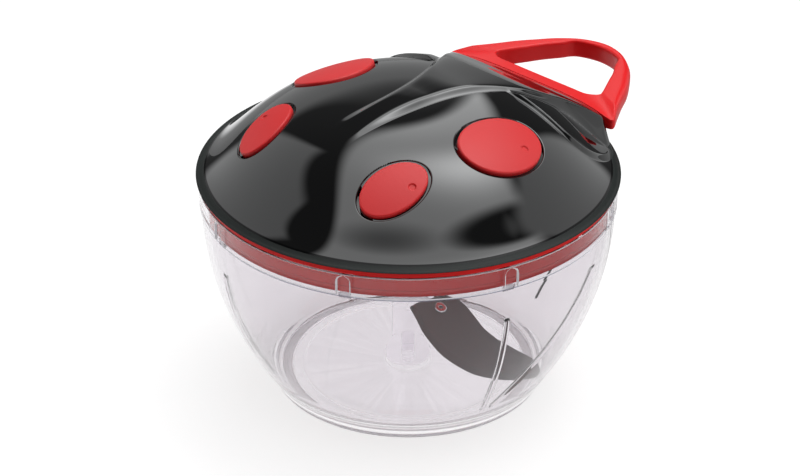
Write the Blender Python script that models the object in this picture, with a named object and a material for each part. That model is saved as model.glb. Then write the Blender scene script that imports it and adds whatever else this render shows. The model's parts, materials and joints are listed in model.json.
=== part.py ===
# Pull-cord food chopper with a clear bowl, a domed lid and a loop handle at its tail.
# Metres, +Z up. The origin is the centre of the bowl's underside, and the handle is pulled towards +Y.
import math

import bmesh
import bpy
import numpy as np
from mathutils import Matrix, Vector

MM = 0.001

# Fits
CLEAR = 0.3 * MM            # gap between pieces that touch or slide
SEGMENTS = 40               # sides of the large round pieces
SMALL_SEGMENTS = 20         # sides of the small round pieces

# Bowl
RIM_RADIUS = 75.0 * MM
RIM_HEIGHT = 80.2 * MM
BAND_HEIGHT = 8.4 * MM      # thicker band round the rim
BAND_STEP = 0.6 * MM
FOOT_RADIUS = 50.0 * MM
FOOT_HEIGHT = 3.0 * MM
WALL_CURVE = 2.05           # how round the wall is from foot to band
BOWL_WALL = 2.4 * MM
FLOOR_THICK = 3.0 * MM
FLOOR_INSET = 8.0 * MM      # from the foot's edge to the flat part of the inner floor
FILLET_HEIGHT = 13.0 * MM   # where the floor's fillet ends on the wall
KEY_COUNT = 8
KEY_TURN = 27.4             # degrees from the front to the first key
KEY_WIDTH = 4.8 * MM
KEY_DROP = 0.7 * MM         # from the rim's top to the arch
REST_WIDTH = 4.2 * MM
REST_DEPTH = 1.2 * MM
REST_HEIGHT = 1.6 * MM
RIB_RADIUS = 1.1 * MM
RIB_LOW = 14.0 * MM
RIB_HIGH = 57.0 * MM
SLOPE_RIB_LOW = 76.4        # degrees from the front, where the sloping rib starts
SLOPE_RIB_HIGH = 106.5      # and where it ends
SLOPE_RIB_TOP = 61.0 * MM
BOSS_RADIUS = 8.0 * MM
BOSS_HEIGHT = 1.7 * MM
PIN_RADIUS = 2.1 * MM
PIN_HEIGHT = 8.6 * MM       # of the pin over the boss
PIN_DEPTH = 3.2 * MM        # of the pin in the boss
RING_INSET = 2.5 * MM       # from the foot's edge to the soft ring
RING_WIDTH = 4.0 * MM
RING_DEPTH = 1.4 * MM

# Lid base
RED_RING_HEIGHT = 2.0 * MM
RED_RING_INSET = 0.2 * MM   # from the bowl's rim to the ring
PLATE_THICK = 2.0 * MM
PLATE_DROP = 3.5 * MM       # of the plate's top under the ring's underside
SKIRT_DEPTH = 7.9 * MM
SKIRT_WALL = 2.6 * MM
LID_WALL = 2.4 * MM
SEAL_HEIGHT = 2.0 * MM
SEAL_WIDTH = 1.5 * MM
SEAL_DROP = 0.5 * MM        # of the seal's underside under the skirt

# Top shell. Its dome is as wide as the bowl's rim.
LIP_WIDTH = 0.9 * MM        # of the thin lip round the dome
SHELL_LIP = 0.4 * MM
SHELL_WALL = 2.4 * MM
DOME_RISE = 26.8 * MM
DOME_POWER = 4.0
DOME_SOFT = 1.52
SADDLE_PROUD = 1.8 * MM     # crest of the saddle over the dome's top
SADDLE_START = 35.0 * MM    # from the dome's front edge to where the saddle starts
SADDLE_CURVE = 2.4
SADDLE_NARROW = 4.0 * MM
SADDLE_BLEND = 8.0 * MM     # over which the saddle rises out of the dome at its start
SADDLE_INSET = 1.2 * MM     # from the end of the tail wall to the saddle's full width
SADDLE_FLARE = 21.4 * MM    # from the tail wall to where the saddle widens fastest
SADDLE_FLARE_LENGTH = 13.4 * MM
SADDLE_FLICK = 5.0 * MM     # by which the ridge turns outwards at the tail wall
SADDLE_FLICK_LENGTH = 13.0 * MM
SADDLE_EDGE_DROP = 3.4 * MM
RIDGE_FALL = 11.0 * MM      # width of the hollow beside the ridge
BLOCK_RISE = 1.5 * MM       # step from the wing up to the tail block
BLOCK_LENGTH = 31.8 * MM    # from the tail wall to the block's front
BLOCK_INSET = 20.8 * MM     # from the dome's edge to the block's flank
BLOCK_ROUND = 9.6 * MM      # how softly the block's front turns into its flank
BLOCK_BLEND = 8.0 * MM      # over which the block rises beside the ridge
BLOCK_TAPER = 1.8 * MM      # how far the flank comes in over the span
BLOCK_TAPER_FROM = 24.0 * MM    # in front of the tail wall
BLOCK_SPAN = 10.0 * MM
BLOCK_EDGE = 1.6 * MM
TAIL_INSET = 12.0 * MM      # from the dome's edge to the tail wall, on which the handle seats
TAIL_SHELF = 5.9 * MM       # height of the handle's shelf over the shell's edge
POST_RADIUS = 3.6 * MM

# Spot pads
SPOT_BIG = (13.4 * MM, 16.4 * MM)       # half width and half length
SPOT_SMALL = (8.9 * MM, 13.2 * MM)
SPOT_BIG_IN = 34.1 * MM     # from the dome's edge to the big pad's centre, sideways
SPOT_BIG_BACK = 3.3 * MM
SPOT_SMALL_IN = 35.6 * MM   # from the dome's front edge to the small pad's centre
SPOT_SMALL_OUT = 31.7 * MM
SPOT_BIG_TURN = -3.0        # degrees from the length of the lid
SPOT_SMALL_TURN = -8.0
SPOT_GAP = 0.9 * MM
SPOT_PROUD = 0.8 * MM
SPOT_EDGE = 0.6 * MM
SPOT_DEPTH = 3.0 * MM
SPOT_FLOOR = 1.8 * MM
SPOT_RIM = 1.6 * MM
PEG_RADIUS = 2.0 * MM
DIMPLE_RADIUS = 1.8 * MM
DIMPLE_DEPTH = 0.5 * MM
DIMPLE_OUT = 0.58           # share of the pad's radius
DIMPLE_TURN = 42.0          # degrees from the side towards the tail

# Handle
HANDLE_LENGTH = 45.2 * MM
HANDLE_INSET = 1.0 * MM     # of the loop's half width inside the end of the tail wall
OPENING_SHARE = 0.61        # half width of the finger opening, of the loop's
BAR_DEPTH = 7.0 * MM
BAR_HEIGHT = 7.7 * MM       # of the bar's top over the shelf
GRIP_WALL = 4.3 * MM
GRIP_THICK = 7.0 * MM
GRIP_DROP = 1.3 * MM        # of the grip's top under the bar's top
HANDLE_EDGE = 1.7 * MM
GRIP_UNDER = 2.0 * MM       # rounding under the grip's outside

# Cord and reel
CORD_RADIUS = 1.1 * MM
CORD_PLAY = 0.5 * MM        # between the cord and the holes it runs through
GUIDE_WALL = 1.1 * MM
CORD_TURNS = 4.5
TURN_GAP = 0.5 * MM         # between the cord's turns on the drum
KNOT_RADIUS = 2.0 * MM
DRUM_RADIUS = 16.6 * MM     # the cord lies on this
DRUM_WALL = 1.6 * MM
FLANGE_REACH = 6.4 * MM     # of the flanges over the drum
FLANGE_THICK = 1.3 * MM
HUB_WALL = 2.0 * MM
HUB_HEIGHT = 8.0 * MM
HUB_WEB = 1.6 * MM          # under the head of the reel's screw
SPRING_TURNS = 4
SPRING_THICK = 0.5 * MM
SPRING_HEIGHT = 6.6 * MM
ARBOR_RADIUS = 4.0 * MM
ARBOR_FLANGE = 9.0 * MM
FLANGE_GAP = 4.4 * MM       # between the reel's flanges and the cover's posts
COVER_POST_RADIUS = 3.6 * MM
COVER_EDGE = 3.8 * MM       # from the posts' centres to the cover's edge
COVER_THICK = 1.6 * MM

# Drive
JOURNAL_RADIUS = 5.0 * MM
BUSH_WALL = 1.5 * MM
BUSH_FLANGE = 9.0 * MM
BUSH_FLANGE_THICK = 1.0 * MM
BOSS_WALL = 2.2 * MM
BOSS_RISE = 1.6 * MM
DRIVE_STEP = 0.38 * MM      # from the journal in to the corners of the drive's hexagon
SOCKET_HEX = 9.6 * MM       # across flats
SOCKET_DEPTH = 10.0 * MM
SOCKET_WALL = 2.8 * MM
SOCKET_DROP = 14.0 * MM     # of the socket's mouth under the plate
HEX_GAP = 0.35 * MM

# Blades
COLUMN_FOOT = 8.5 * MM
COLUMN_RADIUS = 5.5 * MM
BLADE_THICK = 1.2 * MM
SEAT_LENGTH = 18.0 * MM
SEAT_WIDTH = 12.0 * MM
SEAT_THICK = 2.6 * MM
LOWER_BLADE_AT = 33.0 * MM  # height where the blade's plane meets the axis
LOWER_BLADE_FALL = 0.45     # drop for each unit outwards
UPPER_BLADE_AT = 47.0 * MM
UPPER_BLADE_FALL = 0.12
RIVET_RADIUS = 1.5 * MM
RIVET_HEAD = 2.4 * MM
RIVET_BORE = 0.8 * MM
RIVET_OUT = 13.6 * MM
RIVET_SIDE = 4.0 * MM

# Screws
SCREW_RADIUS = 1.4 * MM
SCREW_PLAY = 0.35 * MM
SCREW_HEAD = 2.9 * MM
SCREW_HEAD_HEIGHT = 1.8 * MM
SCREW_BITE = 10.0 * MM
SHELL_SCREW_INSET = 9.1 * MM    # from the skirt's inside to the screws' centres
SHELL_SCREW_ANGLES = (62.0, 118.0, 195.0, -15.0)
COVER_SCREW_ANGLES = (90.0, 210.0, 330.0)

# Heights and radii that follow from the values above
WALL_TOP_RADIUS = RIM_RADIUS - BAND_STEP
BAND_BOTTOM = RIM_HEIGHT - BAND_HEIGHT
BOWL_INNER = WALL_TOP_RADIUS - BOWL_WALL
FLOOR_RADIUS = FOOT_RADIUS - FLOOR_INSET
RING_INNER = FOOT_RADIUS - RING_INSET - RING_WIDTH
BOSS_TOP = FLOOR_THICK + BOSS_HEIGHT
SKIRT_RADIUS = BOWL_INNER - CLEAR
SHELL_SCREW_AT = SKIRT_RADIUS - SKIRT_WALL - SHELL_SCREW_INSET
SCREW_HOLE = SCREW_RADIUS + SCREW_PLAY
RING_BOTTOM = RIM_HEIGHT + CLEAR
RING_TOP = RING_BOTTOM + RED_RING_HEIGHT
RED_RING_RADIUS = RIM_RADIUS - RED_RING_INSET
PLATE_TOP = RING_BOTTOM - PLATE_DROP
PLATE_BOTTOM = PLATE_TOP - PLATE_THICK
SKIRT_BOTTOM = RING_BOTTOM - SKIRT_DEPTH
SEAL_BOTTOM = SKIRT_BOTTOM - SEAL_DROP
REST_TOP = SEAL_BOTTOM - CLEAR
SHELL_EDGE = RING_TOP + CLEAR
DOME_BASE = SHELL_EDGE + SHELL_LIP
DOME_RADIUS = RIM_RADIUS
SHELL_RADIUS = DOME_RADIUS + LIP_WIDTH
TAIL_Y = DOME_RADIUS - TAIL_INSET
TAIL_HALF = math.sqrt(DOME_RADIUS ** 2 - TAIL_Y ** 2)
SHELF_TOP = SHELL_EDGE + TAIL_SHELF
BAR_TOP = SHELF_TOP + BAR_HEIGHT
HANDLE_HALF = TAIL_HALF - HANDLE_INSET
SADDLE_RISE = DOME_RISE + SADDLE_PROUD
SADDLE_DROP = DOME_BASE + SADDLE_RISE - BAR_TOP
SADDLE_FRONT = DOME_RADIUS - SADDLE_START
SADDLE_WIDE = TAIL_HALF - SADDLE_INSET
BLOCK_FRONT = TAIL_Y - BLOCK_LENGTH
BLOCK_SIDE = DOME_RADIUS - BLOCK_INSET
SPOT_BIG_AT = (DOME_RADIUS - SPOT_BIG_IN, SPOT_BIG_BACK)
SPOT_SMALL_AT = (SPOT_SMALL_OUT, SPOT_SMALL_IN - DOME_RADIUS)
CORD_HOLE = CORD_RADIUS + CORD_PLAY
GUIDE_BORE = CORD_HOLE + GUIDE_WALL + CLEAR
CORD_PITCH = 2.0 * CORD_RADIUS + TURN_GAP
CORD_Z = SHELF_TOP + CLEAR + GUIDE_BORE
CORD_LINE = DRUM_RADIUS + CLEAR + CORD_RADIUS
KNOT_POCKET = KNOT_RADIUS + CLEAR
FLANGE_RADIUS = DRUM_RADIUS + FLANGE_REACH
COVER_POST_AT = FLANGE_RADIUS + FLANGE_GAP + COVER_POST_RADIUS
COVER_RADIUS = COVER_POST_AT + COVER_EDGE
HUB_RADIUS = JOURNAL_RADIUS + HUB_WALL
DRIVE_HEX = (JOURNAL_RADIUS - DRIVE_STEP) * math.sqrt(3.0)
BUSH_RADIUS = JOURNAL_RADIUS + CLEAR + BUSH_WALL
BOSS_BORE = BUSH_RADIUS + CLEAR
BASE_BOSS_TOP = PLATE_TOP + BOSS_RISE
BUSH_TOP = BASE_BOSS_TOP + CLEAR + BUSH_FLANGE_THICK
REEL_BOTTOM = BUSH_TOP + CLEAR
REEL_FLOOR = REEL_BOTTOM + FLANGE_THICK
WINDING_HEIGHT = CORD_TURNS * CORD_PITCH + 2.0 * CORD_RADIUS
REEL_UPPER = REEL_FLOOR + 2.0 * CLEAR + WINDING_HEIGHT
REEL_TOP = REEL_UPPER + FLANGE_THICK
HUB_TOP = REEL_BOTTOM + HUB_HEIGHT
REEL_SCREW_SEAT = HUB_TOP - SCREW_HEAD_HEIGHT - CLEAR
DRIVE_TOP = REEL_SCREW_SEAT - HUB_WEB - 2.0 * CLEAR
SPRING_BOTTOM = HUB_TOP + 2.0 * CLEAR
COVER_BOTTOM = REEL_TOP + 2.0 * CLEAR
COVER_TOP = COVER_BOTTOM + COVER_THICK
SOCKET_MOUTH = PLATE_BOTTOM - SOCKET_DROP
SOCKET_RADIUS = SOCKET_HEX / math.sqrt(3.0) + SOCKET_WALL
SOCKET_SHOULDER = PLATE_BOTTOM - CLEAR
COLUMN_BOTTOM = BOSS_TOP + CLEAR
COLUMN_TOP = SOCKET_MOUTH + SOCKET_DEPTH - 3.0 * CLEAR
COLUMN_SHOULDER = SOCKET_MOUTH - 2.0 * CLEAR
PIN_TOP = BOSS_TOP + PIN_HEIGHT
BLADE_REACH = FOOT_RADIUS * math.hypot(1.0, LOWER_BLADE_FALL)    # the lower tip stands over the foot's edge


def clearScene():
    for item in list(bpy.data.objects):
        bpy.data.objects.remove(item, do_unlink=True)


def material(name, colour, roughness, metallic=0.0, transmission=0.0):
    made = bpy.data.materials.new(name)
    made.use_nodes = True
    shader = made.node_tree.nodes["Principled BSDF"]
    shader.inputs["Base Color"].default_value = (*colour, 1.0)
    shader.inputs["Roughness"].default_value = roughness
    shader.inputs["Metallic"].default_value = metallic
    shader.inputs["Transmission Weight"].default_value = transmission
    made.diffuse_color = (*colour, 1.0)
    return made


CLEAR_PLASTIC = ((0.90, 0.90, 0.93), 0.05, 0.0, 0.9)
FROSTED = ((0.85, 0.85, 0.88), 0.35, 0.0, 0.6)
RED_GLOSS = ((0.72, 0.02, 0.02), 0.25)
RED_SOFT = ((0.80, 0.06, 0.06), 0.55)
BLACK_GLOSS = ((0.012, 0.012, 0.013), 0.06)
GREY_PLASTIC = ((0.20, 0.20, 0.21), 0.45)
WHITE_PLASTIC = ((0.80, 0.80, 0.78), 0.40)
STEEL = ((0.55, 0.55, 0.56), 0.30, 1.0)
DARK_STEEL = ((0.22, 0.21, 0.22), 0.35, 1.0)
BRASS = ((0.75, 0.58, 0.25), 0.30, 1.0)
CORD_WHITE = ((0.80, 0.80, 0.76), 0.80)


def emptyAt(name, location):
    frame = bpy.data.objects.new(name, None)
    frame.location = location
    bpy.context.collection.objects.link(frame)
    return frame


def meshFrom(name, points, faces):
    mesh = bpy.data.meshes.new(name)
    mesh.from_pydata([tuple(p) for p in points], [], faces)
    mesh.validate()
    return mesh


def place(name, mesh, finish, parent=None, location=(0.0, 0.0, 0.0)):
    made = bpy.data.objects.new(name, mesh)
    bpy.context.collection.objects.link(made)
    mesh.name = name
    if finish is not None and not mesh.materials:
        mesh.materials.append(material(name + "_finish", *finish))
    made.location = location
    if parent is not None:
        made.parent = parent
        made.matrix_parent_inverse = parent.matrix_basis.inverted()
    return made


def smooth(item, degrees=32.0):
    item.data.shade_smooth()
    item.data.set_sharp_from_angle(angle=math.radians(degrees))
    return item


def turned(profile, segments=SMALL_SEGMENTS, start=0.0):
    # Revolves an outline of (radius, height) points about Z. The outline runs anticlockwise,
    # so outwards at the bottom and inwards at the top. Ends on the axis become poles.
    onAxis = profile[0][0] < 1e-9
    points = []
    rows = []
    for radius, height in profile:
        if radius < 1e-9:
            rows.append([len(points)] * segments)
            points.append((0.0, 0.0, height))
            continue
        row = []
        for step in range(segments):
            angle = start + 2.0 * math.pi * step / segments
            row.append(len(points))
            points.append((radius * math.cos(angle), radius * math.sin(angle), height))
        rows.append(row)
    faces = []
    count = len(rows) - 1 if onAxis else len(rows)
    for j in range(count):
        low = rows[j]
        high = rows[(j + 1) % len(rows)]
        for i in range(segments):
            k = (i + 1) % segments
            corners = []
            for index in (low[i], low[k], high[k], high[i]):
                if index not in corners:
                    corners.append(index)
            if len(corners) > 2:
                faces.append(corners)
    return meshFrom("turned", points, faces)


def prism(outline, bottom, top):
    # A straight prism over an anticlockwise outline in X and Y.
    n = len(outline)
    points = [(x, y, bottom) for x, y in outline] + [(x, y, top) for x, y in outline]
    faces = [list(range(n))[::-1], list(range(n, 2 * n))]
    for i in range(n):
        k = (i + 1) % n
        faces.append([i, k, n + k, n + i])
    return meshFrom("prism", points, faces)


def boxMesh(low, high):
    outline = [(low[0], low[1]), (high[0], low[1]), (high[0], high[1]), (low[0], high[1])]
    return prism(outline, low[2], high[2])


def hexOutline(acrossFlats):
    radius = acrossFlats / math.sqrt(3.0)
    return [(radius * math.cos(math.radians(60 * i)), radius * math.sin(math.radians(60 * i))) for i in range(6)]


def cylinder(radius, bottom, top, segments=SMALL_SEGMENTS):
    turns = [2.0 * math.pi * (i + 0.5) / segments for i in range(segments)]
    return prism([(radius * math.cos(turn), radius * math.sin(turn)) for turn in turns], bottom, top)


def tool(mesh, matrix=None):
    # A cutter or a piece to be joined on. It is used up by combine.
    made = bpy.data.objects.new("tool", mesh)
    bpy.context.collection.objects.link(made)
    made.hide_render = True
    made.display_type = "WIRE"
    if matrix is not None:
        mesh.transform(matrix)
    return made


def combine(item, tools, operation="DIFFERENCE"):
    for cutter in tools:
        modifier = item.modifiers.new("combine", "BOOLEAN")
        modifier.operation = operation
        modifier.solver = "EXACT"
        modifier.object = cutter
        graph = bpy.context.evaluated_depsgraph_get()
        graph.update()
        mesh = bpy.data.meshes.new_from_object(item.evaluated_get(graph))
        item.modifiers.clear()
        item.data = mesh
        bpy.data.objects.remove(cutter, do_unlink=True)
    tidy(item)
    return item


def tidy(item):
    work = bmesh.new()
    work.from_mesh(item.data)
    bmesh.ops.remove_doubles(work, verts=work.verts, dist=0.002 * MM)
    bmesh.ops.dissolve_degenerate(work, edges=work.edges, dist=0.002 * MM)
    work.to_mesh(item.data)
    work.free()


def alongY(y, z):
    # Turns a piece made along Z to lie along +Y, at x = 0.
    return Matrix.Translation((0.0, y, z)) @ Matrix.Rotation(math.radians(-90.0), 4, "X")


def onSide(angleFromFront):
    # A frame whose X points outwards at this angle from the front, -Y, towards +X.
    return Matrix.Rotation(math.radians(angleFromFront - 90.0), 4, "Z")


def bowlOuter(z):
    # Radius of the wall's outside. Under the foot's height it is the foot's slight taper.
    if z <= FOOT_HEIGHT:
        return FOOT_RADIUS + (z / FOOT_HEIGHT) * MM
    share = min((z - FOOT_HEIGHT) / (BAND_BOTTOM - FOOT_HEIGHT), 1.0)
    low = FOOT_RADIUS + MM
    return WALL_TOP_RADIUS - (WALL_TOP_RADIUS - low) * (1.0 - share) ** WALL_CURVE


def bowlInner(z):
    return bowlOuter(z) - BOWL_WALL


def bowlProfile():
    ringOuter = RING_INNER + RING_WIDTH
    profile = [(0.0, 0.0), (RING_INNER - CLEAR, 0.0), (RING_INNER - CLEAR, RING_DEPTH + CLEAR)]
    profile += [(ringOuter + CLEAR, RING_DEPTH + CLEAR), (ringOuter + CLEAR, 0.0), (FOOT_RADIUS - 0.6 * MM, 0.0)]
    profile += [(FOOT_RADIUS, 0.6 * MM), (bowlOuter(FOOT_HEIGHT), FOOT_HEIGHT)]
    steps = 6
    for i in range(1, steps + 1):
        z = FOOT_HEIGHT + (BAND_BOTTOM - FOOT_HEIGHT) * (i / steps) ** 1.25
        profile.append((bowlOuter(z), z))
    profile += [(RIM_RADIUS, BAND_BOTTOM), (RIM_RADIUS, RIM_HEIGHT - 0.5 * MM), (RIM_RADIUS - 0.5 * MM, RIM_HEIGHT)]
    profile += [(BOWL_INNER, RIM_HEIGHT)]
    for i in range(5, 0, -1):
        z = FILLET_HEIGHT + (BAND_BOTTOM - FILLET_HEIGHT) * (i / 5.0) ** 1.2
        profile.append((bowlInner(z), z))
    profile += floorFillet()
    profile += [(BOSS_RADIUS + 0.5 * MM, FLOOR_THICK), (BOSS_RADIUS, BOSS_TOP)]
    hole = PIN_RADIUS + CLEAR
    profile += [(hole, BOSS_TOP), (hole, BOSS_TOP - PIN_DEPTH - CLEAR), (0.0, BOSS_TOP - PIN_DEPTH - CLEAR)]
    return profile


def floorFillet():
    # A curve from the wall down to the flat floor, pulled towards the corner between them.
    start = Vector((bowlInner(FILLET_HEIGHT), FILLET_HEIGHT))
    end = Vector((FLOOR_RADIUS, FLOOR_THICK))
    slope = (bowlInner(FILLET_HEIGHT + MM) - bowlInner(FILLET_HEIGHT)) / MM
    corner = Vector((start.x - slope * (FILLET_HEIGHT - FLOOR_THICK) * 0.75, FLOOR_THICK))
    points = []
    for i in range(4):
        t = i / 3.0
        p = start * (1 - t) ** 2 + corner * (2 * t * (1 - t)) + end * t ** 2
        points.append((p.x, p.y))
    return points


def keyCutter(angle):
    # An arch through the band's extra thickness, round at its top.
    top = RIM_HEIGHT - KEY_DROP
    half = KEY_WIDTH / 2.0
    outline = [(half, BAND_BOTTOM - MM)]
    for i in range(9):
        turn = math.pi * i / 8.0
        outline.append((half * math.cos(turn), top - half + half * math.sin(turn)))
    outline.append((-half, BAND_BOTTOM - MM))
    mesh = prism(outline, 0.0, 4.0 * MM)
    stand = Matrix.Rotation(math.radians(90.0), 4, "Z") @ Matrix.Rotation(math.radians(90.0), 4, "X")
    return tool(mesh, onSide(angle) @ Matrix.Translation((WALL_TOP_RADIUS, 0.0, 0.0)) @ stand)


def restBlock(angle):
    # A small block on the bowl's inside, on which the lid's seal comes to rest.
    low = (BOWL_INNER - REST_DEPTH, -REST_WIDTH / 2.0, REST_TOP - REST_HEIGHT)
    high = (BOWL_INNER + BOWL_WALL / 2.0, REST_WIDTH / 2.0, REST_TOP)
    return tool(boxMesh(low, high), onSide(angle))


def innerRib(angleLow, angleHigh, low, high, steps):
    # A round rib half sunk in the wall's inside, from one angle and height to another.
    stations = []
    for i in range(steps + 1):
        share = i / steps
        z = low + (high - low) * share
        turn = math.radians(angleLow + (angleHigh - angleLow) * share - 90.0)
        radius = bowlInner(z) + 0.25 * RIB_RADIUS
        stations.append(Vector((radius * math.cos(turn), radius * math.sin(turn), z)))
    return tool(sweptTube(stations, RIB_RADIUS, 8))


def sweptTube(stations, radius, sides):
    # A tube with flat ends along a smooth list of points.
    points = []
    rows = []
    for i, centre in enumerate(stations):
        ahead = (stations[min(i + 1, len(stations) - 1)] - stations[max(i - 1, 0)]).normalized()
        side = ahead.cross(Vector((0.0, 0.0, 1.0)))
        if side.length < 1e-6:
            side = Vector((1.0, 0.0, 0.0))
        side.normalize()
        up = side.cross(ahead)
        row = []
        for k in range(sides):
            turn = 2.0 * math.pi * k / sides
            row.append(len(points))
            points.append(centre + radius * (math.cos(turn) * side + math.sin(turn) * up))
        rows.append(row)
    faces = [rows[0][::-1], rows[-1]]
    for low, high in zip(rows[:-1], rows[1:]):
        for k in range(sides):
            m = (k + 1) % sides
            faces.append([low[k], low[m], high[m], high[k]])
    mesh = meshFrom("tube", points, faces)
    work = bmesh.new()
    work.from_mesh(mesh)
    bmesh.ops.recalc_face_normals(work, faces=work.faces)
    work.to_mesh(mesh)
    work.free()
    return mesh


def makeBowl():
    bowl = place("bowl", turned(bowlProfile(), SEGMENTS), CLEAR_PLASTIC)
    step = 360.0 / KEY_COUNT
    keys = [KEY_TURN + step * i for i in range(KEY_COUNT)]
    combine(bowl, [restBlock(angle) for angle in keys], "UNION")
    ribs = [innerRib(KEY_TURN + 2 * step * i + step, KEY_TURN + 2 * step * i + step, RIB_LOW, RIB_HIGH, 6)
            for i in range(4)]
    ribs.append(innerRib(SLOPE_RIB_LOW, SLOPE_RIB_HIGH, RIB_LOW, SLOPE_RIB_TOP, 9))
    combine(bowl, ribs, "UNION")
    combine(bowl, [keyCutter(angle) for angle in keys])
    smooth(bowl)
    pinBottom = BOSS_TOP - PIN_DEPTH
    pin = [(0.0, pinBottom), (PIN_RADIUS, pinBottom), (PIN_RADIUS, PIN_TOP - 0.8 * MM)]
    pin += [(PIN_RADIUS - 0.8 * MM, PIN_TOP), (0.0, PIN_TOP)]
    smooth(place("spindle_pin", turned(pin), STEEL))
    ring = [(RING_INNER, 0.0), (RING_INNER + RING_WIDTH, 0.0)]
    ring += [(RING_INNER + RING_WIDTH, RING_DEPTH), (RING_INNER, RING_DEPTH)]
    smooth(place("non_slip_ring", turned(ring, SEGMENTS), FROSTED))


def saddleHalf(y):
    # Half width of the raised saddle. It flares from the narrow front to the wide tail.
    along = (y - TAIL_Y + SADDLE_FLARE) / SADDLE_FLARE_LENGTH
    flick = SADDLE_FLICK * softStep((y - TAIL_Y + SADDLE_FLICK_LENGTH) / SADDLE_FLICK_LENGTH)
    return SADDLE_NARROW + (SADDLE_WIDE - SADDLE_NARROW) / (1.0 + np.exp(-along)) + flick


def saddleTop(x, y):
    # Height of the saddle over the lip. It falls in front as a parabola and behind more fully.
    wing = DOME_RISE * (1.0 - (SADDLE_FRONT / DOME_RADIUS) ** DOME_POWER) ** DOME_SOFT
    front = SADDLE_RISE - (SADDLE_RISE - wing) * (np.minimum(y, 0.0) / SADDLE_FRONT) ** 2
    behind = SADDLE_DROP * (np.maximum(y, 0.0) / TAIL_Y) ** SADDLE_CURVE
    across = SADDLE_EDGE_DROP * (np.abs(x) / SADDLE_WIDE) ** 4
    return front - behind - across


def softStep(value):
    t = np.clip(value, 0.0, 1.0)
    return t * t * (3.0 - 2.0 * t)


def shellRise(x, y):
    # Height of the shell's outside over its lip: a round dome, the raised saddle with a hollow
    # beside its ridge, and a low step where the tail block meets the wings.
    radius = np.hypot(x, y) / DOME_RADIUS
    dome = DOME_RISE * np.maximum(1.0 - radius ** DOME_POWER, 0.0) ** DOME_SOFT
    side = np.abs(x)
    beyond = (side - saddleHalf(y)) / RIDGE_FALL
    fade = (1.0 - np.clip(beyond, 0.0, 1.0)) ** 2
    rim = 1.0 - np.clip((radius - 0.955) / 0.045, 0.0, 1.0) ** 2
    start = softStep((y + SADDLE_FRONT - 2.0 * MM) / SADDLE_BLEND)
    raised = np.maximum(saddleTop(x, y) - dome, 0.0) * fade * rim * start
    behind = np.maximum(y - TAIL_Y + BLOCK_TAPER_FROM, 0.0) / BLOCK_SPAN
    flank = BLOCK_SIDE - BLOCK_TAPER * behind ** 2
    ahead = y - BLOCK_FRONT
    within = 0.5 * (ahead + flank - side - np.sqrt((ahead - flank + side) ** 2 + BLOCK_ROUND ** 2))
    block = softStep(within / BLOCK_EDGE) * softStep(beyond * RIDGE_FALL / BLOCK_BLEND) * rim
    return dome + raised + BLOCK_RISE * block


def domeSolid(radius, lowest, drop, rings, segments, lip=0.0):
    # The space under the dome, scaled to a radius and lowered by a wall's thickness.
    scale = DOME_RADIUS / radius
    base = DOME_BASE - drop
    points = [(0.0, 0.0, base + float(shellRise(0.0, 0.0)))]
    faces = []
    for j in range(1, rings + 1):
        share = math.sin(0.5 * math.pi * j / rings) ** 0.9
        for i in range(segments):
            angle = 2.0 * math.pi * i / segments
            x = radius * share * math.cos(angle)
            y = radius * share * math.sin(angle)
            points.append((x, y, base + float(shellRise(x * scale, y * scale))))
    for i in range(segments):
        faces.append([0, 1 + i, 1 + (i + 1) % segments])
    for j in range(rings - 1):
        for i in range(segments):
            k = (i + 1) % segments
            a = 1 + j * segments
            b = a + segments
            faces.append([a + i, b + i, b + k, a + k])
    last = 1 + (rings - 1) * segments
    foot = len(points)
    for i in range(segments):
        angle = 2.0 * math.pi * i / segments
        points.append(((radius + lip) * math.cos(angle), (radius + lip) * math.sin(angle), lowest))
    for i in range(segments):
        k = (i + 1) % segments
        faces.append([last + i, foot + i, foot + k, last + k])
    faces.append([foot + i for i in range(segments)][::-1])
    return meshFrom("dome", points, faces)


def spotFrame(at, half, turn):
    # Seats a pad on the plane through the dome at the pad's edge. X runs across it, Y along it.
    ring = []
    for i in range(12):
        step = 2.0 * math.pi * i / 12.0
        spot = Matrix.Rotation(turn, 4, "Z") @ Vector((half[0] * math.cos(step), half[1] * math.sin(step), 0.0))
        x = at[0] + spot.x * 0.95
        y = at[1] + spot.y * 0.95
        ring.append(Vector((x, y, DOME_BASE + float(shellRise(x, y)))))
    centre = sum(ring, Vector((0.0, 0.0, 0.0))) / len(ring)
    normal = Vector((0.0, 0.0, 0.0))
    for a, b in zip(ring, ring[1:] + ring[:1]):
        normal += (a - centre).cross(b - centre)
    normal.normalize()
    tilt = Vector((0.0, 0.0, 1.0)).rotation_difference(normal).to_matrix().to_4x4()
    return Matrix.Translation(centre) @ tilt @ Matrix.Rotation(turn, 4, "Z")


def oval(half, grow, bottom, top, segments):
    # A straight piece over an oval, both half axes grown by the same amount.
    outline = []
    for i in range(segments):
        step = 2.0 * math.pi * i / segments
        outline.append(((half[0] + grow) * math.cos(step), (half[1] + grow) * math.sin(step)))
    return prism(outline, bottom, top)


def spots():
    for end, at, half, turn in (("rear", SPOT_BIG_AT, SPOT_BIG, SPOT_BIG_TURN),
                                ("front", SPOT_SMALL_AT, SPOT_SMALL, SPOT_SMALL_TURN)):
        for side, sign in (("left", -1.0), ("right", 1.0)):
            frame = spotFrame((sign * at[0], at[1]), half, sign * math.radians(turn))
            yield "spot_pad_%s_%s" % (end, side), frame, half


def screwPosts():
    for angle in SHELL_SCREW_ANGLES:
        turn = math.radians(angle)
        yield SHELL_SCREW_AT * math.cos(turn), SHELL_SCREW_AT * math.sin(turn)


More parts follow.
